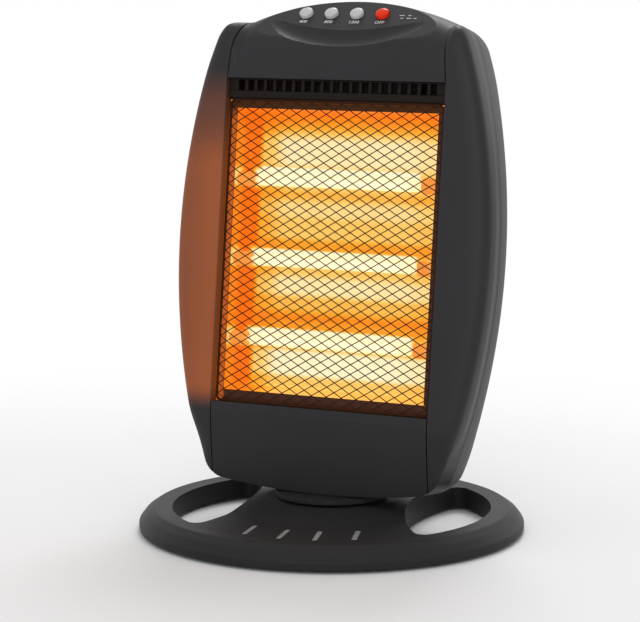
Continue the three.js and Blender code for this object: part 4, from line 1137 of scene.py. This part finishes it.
@dataclass
class Controls:
    """Four push caps on the facet, each on its own body, with plain labels under them."""

    radius: float = 6.3
    proud: float = 4.6
    dome: float = 2.3
    stem: float = 2.8
    tail: float = -16.3
    skirt: float = -5.5
    labels: tuple[str, ...] = ("400", "800", "1200", "OFF")
    label_up: float = 9.6
    label_size: float = 5.3

    def cap(self, number: int, x: float) -> None:
        """A cap: a stem, a skirt and a dome of radius r cos(a) at height h + d sin(a)."""
        angle = np.linspace(0, math.pi / 2, 18)[:-1]
        crown = np.c_[self.radius * np.cos(angle),
                      self.proud - self.dome + self.dome * np.sin(angle)]
        foot = rounded([(self.stem, self.tail, 0), (self.stem, self.skirt, 0.4),
                        (self.radius, self.skirt, 0.4),
                        (self.radius, self.proud - self.dome, 0)])[:-1]
        made = remap(turned(np.concatenate([foot, crown]), 56), to_facet(x, BUTTON_UP))
        finish = Finish.RED_CAP if number == len(BUTTONS) else Finish.CAP
        dress(made, f"push_cap_{number}", f"button_{number}", finish, HEAD, f"button_{number}",
              smooth=40)

    def label(self, number: int, words: str, x: float) -> None:
        """A plain label, printed on the facet under its cap."""
        curve = bpy.data.curves.new("label", "FONT")
        curve.body, curve.size, curve.align_x = words, self.label_size, "CENTER"
        curve.extrude, curve.resolution_u, curve.offset = 0.04, 3, 0.09
        holder = bpy.data.objects.new("label", curve)
        bpy.context.scene.collection.objects.link(holder)
        graph = bpy.context.evaluated_depsgraph_get()
        mesh = bpy.data.meshes.new_from_object(holder.evaluated_get(graph))
        made = bpy.data.objects.new("label", mesh)
        bpy.context.scene.collection.objects.link(made)
        bpy.data.objects.remove(holder)
        remap(made, moved(0, 0, 0.06))
        remap(made, to_facet(x, self.label_up))
        dress(made, f"label_{number}", "head", Finish.PRINT, HEAD)

    def marks(self) -> None:
        """Two short rows of plain dashes beside the last cap."""
        rows = [(50, 21.5, 5.0), (57.5, 21.5, 3.0), (51, 17.5, 3.0), (58, 17.5, 5.0),
                (64, 17.5, 3.0)]
        for i, (x, up, width) in enumerate(rows):
            bar = prism(rounded_box(width, 0.9, 0.4), 0.02, 0.09, 2)
            dress(remap(bar, to_facet(x, up)), f"mark_{i + 1}", "head", Finish.PRINT, HEAD)

    def build(self) -> None:
        """Builds the caps, labels and marks."""
        for i, (x, words) in enumerate(zip(BUTTONS, self.labels), 1):
            self.cap(i, x)
            self.label(i, words, x + 0.4)
        self.marks()


# ---- the window ----
@dataclass
class Window:
    """What frames and guards the burner: the slotted grille, sill, side strips and wire guard."""

    half: float = 106.7
    rail: tuple[float, float, float, float] = (353.3, 361, 3.0, 9.6)
    top: float = 371.7
    slots: tuple[int, float, float] = (21, 9.5, 5.9)
    rib: tuple[float, float] = (4.6, 9.3)
    tail: float = 345
    strip: tuple[float, float] = (7.9, 9.6)
    sill: tuple[float, float] = (77.3, 88)
    guard: tuple[float, float] = (78.5, 351.8)
    cell: tuple[float, float] = (14.8, 8.7)
    wire: float = 0.46
    frame_r: float = 1.2
    layers: tuple[float, float] = (2.5, 3.6)
    bend: tuple[float, float, float] = (97, 105, 3.2)

    def grille(self) -> None:
        """A rounded rail, upright ribs with round noses, a top strip and a tail under it."""
        low, high, front, back = self.rail
        rail = prism(rounded([(front, low, 2.2), (back, low, 0.3), (back, high, 0.3),
                              (front, high, 2.2)], 8, True),
                     -self.half, self.half, 0)
        strip = box((-self.half, self.half), self.rib, (self.top - 1, self.top))
        tail = box((-self.half, self.half), (self.strip[0], 9.45), (self.tail, low + 1))
        carve(rail, Carve.JOIN, strip, tail)
        (nose_at, heel_at), (count, pitch, slot) = self.rib, self.slots
        centres = (np.arange(count + 1) - count / 2) * pitch
        width = pitch - slot
        for i, x in enumerate(centres):
            end = i in (0, count)
            near = x - width / 2 if i else -self.half
            far = x + width / 2 if i < count else self.half
            nose = 0.4 if end else width / 2 - 0.1
            outline = rounded([(near, nose_at, nose), (far, nose_at, nose), (far, heel_at, 0.2),
                               (near, heel_at, 0.2)], 6, True)
            carve(rail, Carve.JOIN, prism(outline, high - 1, self.top - 0.4, 2))
        dress(rail, "slotted_grille", "head", Finish.GRILLE, HEAD, "vent_grille", smooth=30)

    def strips(self) -> None:
        """Folded strips beside the guard and the sill under it, with turned lips."""
        front, back = self.strip
        for way in Way:
            outer, inner = way.value * self.half, way.value * (self.half - 7)
            fold = way.value * 1.1
            outline = rounded([(outer, back, 0.2), (outer, front - 1.6, 0.4),
                               (outer - fold, front - 1.6, 0.4),
                               (outer - fold, front, 0.5), (inner + fold, front, 0.5),
                               (inner, front + 0.7, 0.4), (inner, back, 0.2)], 5, True)
            made = prism(outline, self.sill[1] + 0.3, self.tail - 0.3, 2)
            dress(made, f"side_strip_{way.word}", "head", Finish.BRONZE, HEAD, f"bezel_{way.word}")
        low, high = self.sill
        outline = rounded([(back, low, 0.2), (front, low, 0.4), (front, high - 0.8, 0.6),
                           (front + 0.7, high, 0.4), (back, high, 0.2)], 5, True)
        dress(prism(outline, -self.half, self.half, 0), "lower_sill", "head", Finish.BRONZE, HEAD,
              "window_sill")

    def lie(self, x: Array, depth: float) -> Array:
        """Depth of a wire: even in the middle, then running back to the frame."""
        flat, end, fall = self.bend
        return depth + fall * np.maximum(0, (np.abs(x) - flat) / (end - flat))

    def wires(self, way: int) -> tuple[Array, Array]:
        """The ends of one family of crossing wires.

        A wire climbs by the cell's height over its width, and its neighbours stand a cell's height
        apart. Its ends are where it meets the border.

        Returns:
            The ends' x and z, by wire and end.
        """
        low, high = self.guard
        slope, end = way * self.cell[1] / self.cell[0], self.bend[1]
        middle = (low + high) / 2
        count = math.ceil(((high - low) / 2 + end * abs(slope)) / self.cell[1])
        start = middle + np.arange(-count, count + 1)[:, None] * self.cell[1]
        ends = np.sort((np.array([low, high]) - start) / slope, axis=1)
        x = np.clip(ends, -end, end)
        keep = x[:, 1] - x[:, 0] > 4.8
        return x[keep], (start + slope * x)[keep]

    def family(self, way: int, depth: float, stations: int = 30,
               sides: int = 6) -> tuple[Array, list[list[int]]]:
        """All wires of one family as tubes round their lines.

        A ring is the line's point plus r (cos a across + sin a back) for each angle a.
        """
        ends_x, ends_z = self.wires(way)
        share = np.linspace(0, 1, stations)
        x = ends_x[:, :1] + (ends_x[:, 1:] - ends_x[:, :1]) * share
        z = ends_z[:, :1] + (ends_z[:, 1:] - ends_z[:, :1]) * share
        slope = way * self.cell[1] / self.cell[0]
        across = np.array([-slope, 1.0]) / math.hypot(slope, 1)
        angle = round_angles(sides)
        r = self.wire
        points = np.stack([x[..., None] + r * np.cos(angle) * across[0],
                           self.lie(x, depth)[..., None] + r * np.sin(angle),
                           z[..., None] + r * np.cos(angle) * across[1]], -1)
        quads = strip_faces(stations, sides, False, True)
        if way > 0:
            quads = quads[:, ::-1]
        offset = np.arange(len(x))[:, None, None] * stations * sides
        faces = (quads[None] + offset).reshape(-1, 4).tolist()
        ring = np.arange(sides)
        for first in (offset[:, 0, 0]).tolist():
            cap_a, cap_b = (ring + first).tolist(), (ring + first + (stations - 1) * sides).tolist()
            faces += [cap_a[::-1], cap_b] if way < 0 else [cap_a, cap_b[::-1]]
        return points.reshape(-1, 3), faces

    def border(self) -> bpy.types.Object:
        """The border rod: a round section carried along a rounded rectangle."""
        low, high = self.guard
        end = self.bend[1]
        path = rounded_box(2 * end, high - low, 5, 0, (low + high) / 2)
        share = np.linspace(0, 1, 12)[:-1, None]
        path = np.concatenate([here + (there - here) * share if np.linalg.norm(there - here) > 20
                               else here[None]
                               for here, there in zip(path, np.roll(path, -1, 0))])
        along = np.roll(path, -1, 0) - np.roll(path, 1, 0)
        along /= np.linalg.norm(along, axis=1, keepdims=True)
        angle = round_angles(10)
        r = self.frame_r
        rings = np.stack([path[:, :1] + r * np.cos(angle) * -along[:, 1:],
                          self.lie(path[:, :1], sum(self.layers) / 2) + r * np.sin(angle),
                          path[:, 1:] + r * np.cos(angle) * along[:, :1]], -1)
        return loft("border", rings, True)

    def mesh(self) -> None:
        """The wire guard: two crossing families, welded to a round border rod."""
        frame = self.border()
        for way, depth in zip((-1, 1), self.layers):
            points, faces = self.family(way, depth)
            wires = mesh_object("wires", points, faces)
            dress(wires, f"guard_wires_{'front' if way < 0 else 'rear'}", "head", Finish.WIRE, HEAD)
        dress(frame, "guard_frame", "head", Finish.WIRE, HEAD, "mesh_guard", smooth=50)

    def build(self) -> None:
        """Builds the grille, the strips and the guard."""
        self.grille()
        self.strips()
        self.mesh()


# ---- the burner ----
@dataclass
class Burner:
    """The reflector tray, three quartz tubes with their coils, and the ceramic ends."""

    sheet: float = 0.8
    bore: float = 7.4
    depth: float = 20
    radius: float = 5.5
    length: float = 167.4
    holder: tuple[float, float] = (7, 20)
    coil: tuple[float, float, float] = (3.0, 2.2, 72)

    def reflector(self) -> None:
        """The tray: a height over x and z, given a wall and bored for the ceramic ends.

        The depth grows from the mouth at the taper's slope to the floor, and on the floor each tube
        has a round trough of depth h (1 - (2 d / pitch)^2) at distance d from the tube.
        """
        half, low, high, taper = TRAY.half, TRAY.low, TRAY.high, TRAY.taper
        slope = TRAY.deep / taper
        rim_x = np.concatenate([[-half - 3.6, -half - 0.8], np.linspace(-half, -half + taper, 12)])
        x = np.concatenate([rim_x, np.linspace(-half + taper + 6, half - taper - 6, 30),
                            -rim_x[::-1]])
        rim_z = np.array([-1.8, -0.6, *np.linspace(0, taper / 2, 10)])
        z = np.concatenate([low + rim_z,
                            np.linspace(low + taper / 2 + 2, high - taper / 2 - 2, 110),
                            (high - rim_z)[::-1]])
        gx, gz = np.meshgrid(x, z)
        wall = np.minimum(half - np.abs(gx), 2 * np.minimum(gz - low, high - gz)) * slope
        near = np.min(np.abs(gz[..., None] - np.array(TUBES)), axis=-1)
        bowl = TRAY.trough * np.maximum(0, 1 - (2 * near / TRAY.pitch) ** 2)
        inner = smoothstep((half - taper - np.abs(gx)) / 6)
        height = np.clip(wall, 0, TRAY.deep) + bowl * inner * (wall >= TRAY.deep)
        points = np.stack([gx, TRAY.front + height, gz], -1).reshape(-1, 3)
        tray = mesh_object("tray", points, strip_faces(len(z), len(x), False, False).tolist())
        skin = tray.modifiers.new("skin", "SOLIDIFY")
        skin.thickness, skin.offset, skin.use_even_offset = self.sheet, -1, False
        settle(tray)
        bores = [remap(rod(self.bore, -150, 150, 40), to_side(0, self.depth, z)) for z in TUBES]
        carve(tray, Carve.CUT, *bores)
        dress(tray, "reflector_tray", "head", Finish.SHEET, HEAD, "reflector", smooth=40)

    def tube(self, number: int, z: float) -> None:
        """A quartz tube with pinched ends, round a coil."""
        end = self.length / 2
        half = rounded([(2.0, -end, 0), (2.6, -end + 2, 1.0), (self.radius, -end + 7, 4),
                        (self.radius, 0, 0)], 7)
        profile = np.concatenate([half, (half * (1, -1))[-2::-1]])
        glass = remap(turned(profile, 36), to_side(0, self.depth, z))
        dress(glass, f"tube_{number}", "head", Finish.TUBE, HEAD, f"quartz_tube_{number}",
              smooth=60)
        dress(self.helix(z), f"coil_{number}", "head", Finish.COIL, HEAD, smooth=60)

    def helix(self, z: float) -> bpy.types.Object:
        """The coil: a thin round wire along the helix (p t / 2 pi, r cos t, r sin t)."""
        r, pitch, half = self.coil
        turns = 2 * half / pitch
        t = np.linspace(0, 2 * math.pi * turns, int(turns * 12))[:, None]
        path = np.concatenate([-half + pitch * t / (2 * math.pi), r * np.cos(t), r * np.sin(t)], 1)
        out = np.concatenate([np.zeros_like(t), np.cos(t), np.sin(t)], 1)
        along = np.concatenate([np.full_like(t, pitch / (2 * math.pi)), -r * np.sin(t),
                                r * np.cos(t)], 1)
        along /= np.linalg.norm(along, axis=1, keepdims=True)
        side = np.cross(along, out)
        angle = round_angles(5)
        rings = (path[:, None] + 0.45 * (np.cos(angle)[:, None] * out[:, None]
                                        + np.sin(angle)[:, None] * side[:, None]))
        return remap(loft("coil", rings), moved(0, self.depth, z))

    def end(self, number: int, way: Way, z: float) -> None:
        """A ceramic end with a groove, over the tube's pinch."""
        r, run = self.holder
        profile = rounded([(2.9, 0, 0), (r, 0, 0.8), (r, 6, 0.4), (r - 0.9, 7, 0.4),
                           (r - 0.9, 8.6, 0.4), (r, 9.6, 0.4), (r, run, 0.8), (2.9, run, 0)])
        start = way.value * (self.length / 2 + 0.3)
        made = remap(turned(profile, 36), to_side(start, self.depth, z, way.value))
        dress(made, f"end_{way.word}_{number}", "head", Finish.HOLDER, HEAD,
              f"ceramic_{way.word}_{number}", smooth=40)

    def build(self) -> None:
        """Builds the tray, the tubes and their ends."""
        self.reflector()
        for i, z in enumerate(TUBES, 1):
            self.tube(i, z)
            for way in Way:
                self.end(i, way, z)


# ---- the stand ----
@dataclass
class Stand:
    """The round base with two side openings, its feet and the swivel disc."""

    radius: float = 175
    ring: float = 145
    waist: float = 72
    bridge: float = 211
    corner: float = 9
    wall: float = 3
    slots: tuple[tuple[float, float], ...] = ((14.3, 3), (46, 5))
    slot_size: tuple[float, float, float] = (4.8, 33, 109)
    feet: tuple[float, float, int] = (9, 159, 4)
    disc: tuple[float, float, float, float] = (51, 29.8, 31.2, 36.3)
    bore: float = 8.3

    def opening(self, grow: float, way: Way) -> Array:
        """One side opening in plan: inside the ring and the bridge's hollow edge."""
        ring = (0.0, 0.0, self.ring + grow)
        bridge = (self.waist + self.bridge, 0.0, self.bridge + grow)
        corner = fillet(ring, bridge, self.corner + grow)
        upper = np.concatenate([
            arc(ring, 0, heading(ring, corner), 40),
            arc(corner, heading(ring, corner), heading(bridge, corner), 14),
            arc(bridge, heading(bridge, corner), math.pi, 40),
            [[self.waist - grow, 0.0]],
        ])
        return np.concatenate([upper, (upper[1:-1] * (1, -1))[::-1]]) * (way.value, 1)

    def well(self, grow: float, way: Way) -> bpy.types.Object:
        """The opening carried through the whole height."""
        return prism(self.opening(grow, way), -6, 36, 2)

    def foot_places(self) -> list[tuple[float, float]]:
        """The feet's centres, evenly round their circle."""
        _, circle, count = self.feet
        angle = (np.arange(count) + 0.5) * 2 * math.pi / count
        return [(circle * math.cos(a), circle * math.sin(a)) for a in angle]

    def shell(self) -> None:
        """The base moulding: rim, bevel, ring and cone turned, then hollowed and cut."""
        outside = rounded([(170, 2.7, 0), (self.radius, 2.7, 1.2), (self.radius, 9.5, 5),
                           (169.3, 16.9, 9), (161.6, 22, 4), (150, 21.6, 0),
                           (self.ring, 21.5, 0), (100, 22.5, 70),
                           (80, 26.5, 70), (60, 29.5, 8), (54, 29.5, 0)], 9)
        body = turned(outside, 256)
        t = self.wall
        inside = turned(np.array([(self.radius - t, -3), (self.radius - t, 8), (160.1, 19),
                                  (self.ring, 18.5), (100, 19.5),
                                  (60, 26.5)]), 128)
        posts = [remap(rod(self.feet[0] + 1, 2.7, 34, 32), moved(*spot))
                 for spot in self.foot_places()]
        carve(inside, Carve.CUT, *(self.well(t, way) for way in Way), *posts)
        bore = rod(self.bore, 10, 60)
        carve(body, Carve.CUT, inside, *(self.well(0, way) for way in Way), *self.slot_prisms(0),
              bore)
        ease_edges(body, 0.6, 44)
        even_out(dress(body, "base_ring", "base", Finish.BASE, BASE, "base_shell", smooth=26))

    def slot_prisms(self, inset: float) -> list[bpy.types.Object]:
        """The four long slots as upright prisms, drawn in by an inset."""
        width, long, inner = self.slot_size
        made = []
        for x, splay in self.slots:
            for way in Way:
                outline = rounded_box(width - 2 * inset, long - 2 * inset, 2.1 - inset, 0,
                                      -long / 2)
                a = math.radians(way.value * splay)
                turn = np.array([(math.cos(a), math.sin(a)), (-math.sin(a), math.cos(a))])
                placed = outline @ turn + (way.value * x, -math.sqrt(inner ** 2 - x ** 2))
                made.append(prism(placed, 9.5, 40, 2))
        return made

    def inlays(self) -> None:
        """Pale inlays that fill the slots just under the surface."""
        low, high = ([(172, 4 - d), (150, 21.6 - d), (145, 21.5 - d), (100, 22.5 - d),
                      (80, 26.5 - d), (60, 29.5 - d)]
                     for d in (2.4, 0.5))
        for i, slot in enumerate(self.slot_prisms(-0.05), 1):
            band = turned(np.array(high), 160)
            carve(band, Carve.CUT, turned(np.array([(180.0, low[0][1]), *low[1:]]), 160))
            dress(carve(slot, Carve.KEEP, band), f"slot_inlay_{i}", "base", Finish.INLAY, BASE)

    def foot_pads(self) -> None:
        """Rubber feet with a soft edge and a shallow ring under them."""
        r = self.feet[0]
        profile = rounded([(2, 0.5, 0), (4.6, 0.5, 0.3), (5.2, 0, 0.3), (r - 0.6, 0, 0.8),
                           (r, 2.4, 0.3),
                           (2, 2.4, 0)])
        for i, (x, y) in enumerate(self.foot_places(), 1):
            made = remap(turned(profile, 40), moved(x, y))
            dress(made, f"foot_pad_{i}", "base", Finish.RUBBER, BASE, f"foot_{i}")

    def swivel(self) -> None:
        """The disc between base and head."""
        r, low, step, high = self.disc
        profile = rounded([(self.bore, low, 0), (42, low, 0.4), (42, step, 0.3), (r - 1, step, 0.8),
                           (r, step + 1, 0.8), (r, high, 0.4),
                           (self.bore, high, 0)])
        made = turned(profile, 160, True)
        dress(made, "swivel_disc", "head", Finish.BASE, LEVEL, "turntable_disc")

    def build(self) -> None:
        """Builds the base, its feet and the disc."""
        self.shell()
        self.inlays()
        self.foot_pads()
        self.swivel()


@dataclass
class Rear:
    """Screws and the cord gland on the back."""

    screw: tuple[float, float] = (3.6, 2.2)
    across: float = 88
    rows: tuple[float, ...] = (52, 210, 368)
    face: float = 91
    gland: tuple[float, float, float] = (62, 44, 88.4)

    def screws(self) -> None:
        """Domed heads, r cos(a) wide at height h + d sin(a), each with a cross recess."""
        r, high = self.screw
        angle = np.linspace(0, math.pi / 2, 12)[:-1]
        profile = np.concatenate([[(r, 0.0)],
                                  np.c_[r * np.cos(angle), 0.8 + (high - 0.8) * np.sin(angle)]])
        for way in Way:
            for i, z in enumerate(self.rows, 1):
                head = turned(profile, 40)
                cross = [box((-a, a), (-b, b), (1.0, 4.0)) for a, b in ((2.1, 0.45), (0.45, 2.1))]
                carve(head, Carve.CUT, *cross)
                remap(head, to_back(way.value * self.across, self.face + 0.3, z))
                dress(head, f"screw_{way.word}_{i}", "head", Finish.STEEL, HEAD,
                      f"rear_screw_{way.word}_{i}")

    def cord_gland(self) -> None:
        """A rubber gland with a collar and a ribbed nose round its bore."""
        x, z, start = self.gland
        profile = rounded([(3.6, 0, 0.2), (7, 0, 0.3), (7, 3.2, 0.1), (9, 3.2, 0.4), (9, 4.6, 0.5),
                           (6.9, 4.9, 0.2), (6.3, 5.4, 0.2), (6.8, 5.9, 0.2),
                           (6.1, 6.5, 0.2), (6.5, 7.1, 0.2),
                           (5.9, 7.6, 0.3),
                           (3.6, 7.6, 0.4)], 4, True)
        made = remap(turned(profile, 56, True), to_back(x, start, z))
        dress(made, "gland", "head", Finish.RUBBER, HEAD, "cord_gland", smooth=40)

    def build(self) -> None:
        """Builds the screws and the gland."""
        self.screws()
        self.cord_gland()


class Works:
    """The pieces inside and underneath whose solids are shown as they are."""

    finishes: dict[str, Finish] = {
        "base_bottom_plate": Finish.INNER, "tip_switch_body": Finish.INNER,
        "tip_plunger": Finish.INNER,
        "pivot_spindle": Finish.STEEL, "drive_yoke": Finish.STEEL, "gear_motor": Finish.STEEL,
        "motor_crank": Finish.INNER, "terminal_block": Finish.CERAMIC, "switch_bank": Finish.INNER,
        "thermal_cutout": Finish.CERAMIC, "tube_bracket_left": Finish.STEEL,
        "tube_bracket_right": Finish.STEEL,
    }

    def build(self, nodes: dict[str, bpy.types.Object]) -> None:
        """Gives each solid its finish.

        Args:
            nodes: The frame's nodes by name.
        """
        for name, finish in self.finishes.items():
            slots = nodes[name].material_slots
            for spot in slots:
                spot.material = finish.material()
            if not slots:
                nodes[name].data.materials.append(finish.material())
            LOG.info("%s: solid shown with %s", name, finish.name.lower())


# ---- studio ----
@dataclass
class Studio:
    """A pale floor, a white surround, soft lamps and the camera."""

    azimuth: float = 25.9
    elevation: float = 8.1
    distance: float = 2.25
    target: tuple[float, float, float] = (-0.0118, 0.0, 0.199)
    focal: float = 2490
    image_width: float = 640
    surround: float = 0.56
    fade: tuple[float, float] = (0.42, 1.0)

    def camera(self) -> None:
        """The camera at its bearing round the target, framed for a 640 wide image."""
        azimuth, elevation = math.radians(self.azimuth), math.radians(self.elevation)
        back = Vector((math.sin(azimuth) * math.cos(elevation),
                       -math.cos(azimuth) * math.cos(elevation),
                       math.sin(elevation)))
        data = bpy.data.cameras.new("camera")
        data.sensor_width, data.clip_end = 36, 200
        data.lens = self.focal / self.image_width * data.sensor_width
        made = bpy.data.objects.new("camera", data)
        made.location = Vector(self.target) + back * self.distance
        made.rotation_euler = (-back).to_track_quat("-Z", "Y").to_euler()
        bpy.context.scene.collection.objects.link(made)
        bpy.context.scene.camera = made

    def lamp(self, name: str, spot: Colour, size: float, watts: float) -> None:
        """A soft square lamp aimed at the target."""
        data = bpy.data.lights.new(name, "AREA")
        data.size, data.energy = size, watts
        made = bpy.data.objects.new(name, data)
        made.location = spot
        aim = Vector(self.target) - Vector(spot)
        made.rotation_euler = aim.to_track_quat("-Z", "Y").to_euler()
        bpy.context.scene.collection.objects.link(made)

    def world(self) -> None:
        """White for the camera, glass and gloss, and a dimmer white as light."""
        graph = Graph(bpy.data.worlds.new("surround"))
        seen = graph.seen_by("Camera", "Glossy", "Transmission")
        level = graph.node("ShaderNodeMapRange", {}, {0: seen, 3: self.surround, 4: 1.0})
        white = graph.node("ShaderNodeBackground", {}, {"Color": (1, 1, 1, 1), "Strength": level})
        bpy.context.scene.world = graph.close(white, "World")

    def floor(self) -> None:
        """A wide pale floor that keeps shadows near the heater and is plain white further off."""
        reach = 40000.0
        points = np.array([(-reach, -reach, 0), (reach, -reach, 0), (reach, reach, 0),
                           (-reach, reach, 0)])
        made = mesh_object("floor", points * MM - (0, 0, 0.0002), [[0, 1, 2, 3]])
        s = Shader("floor_paper")
        x, y, _ = s.axes()
        away = ((x * x + y * y) ** 0.5).rise(*self.fade)
        seen = s.seen_by("Camera")
        paper = s.node("ShaderNodeBsdfPrincipled", {},
                       {"Base Color": (0.93, 0.925, 0.93, 1), "Roughness": 0.9,
                                                        "Specular IOR Level": 0.1})
        white = s.node("ShaderNodeEmission", {}, {"Color": (1, 1, 1, 1), "Strength": 1.0})
        mixed = s.node("ShaderNodeMixShader", {}, {0: away * seen, 1: paper, 2: white})
        made.data.materials.append(s.close(mixed))

    def build(self) -> None:
        """Builds everything that isn't the heater."""
        self.camera()
        self.world()
        self.floor()
        self.lamp("key", (-0.4, 1.8, 2.4), 1.2, 31)
        self.lamp("rim", (1.1, 2.2, 1.0), 1.0, 5)
        self.lamp("fill", (0.9, -2.6, 1.2), 1.6, 17)
        self.lamp("top", (0.3, -0.2, 2.7), 1.8, 5)
        bpy.context.scene.view_settings.view_transform = "Standard"


def corners(bounds: Sequence[Sequence[float]]) -> list[list[float]]:
    """The two corners of a box as plain numbers."""
    return [[float(value) for value in corner] for corner in bounds]


def main() -> None:
    """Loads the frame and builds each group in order."""
    logging.basicConfig(level=logging.INFO, format="%(name)s %(message)s")
    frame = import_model()
    Studio().build()
    Stand().build()
    Housing().build()
    Controls().build()
    Window().build()
    Burner().build()
    Rear().build()
    Works().build(frame["nodes"])


if __name__ == "__main__":
    main()
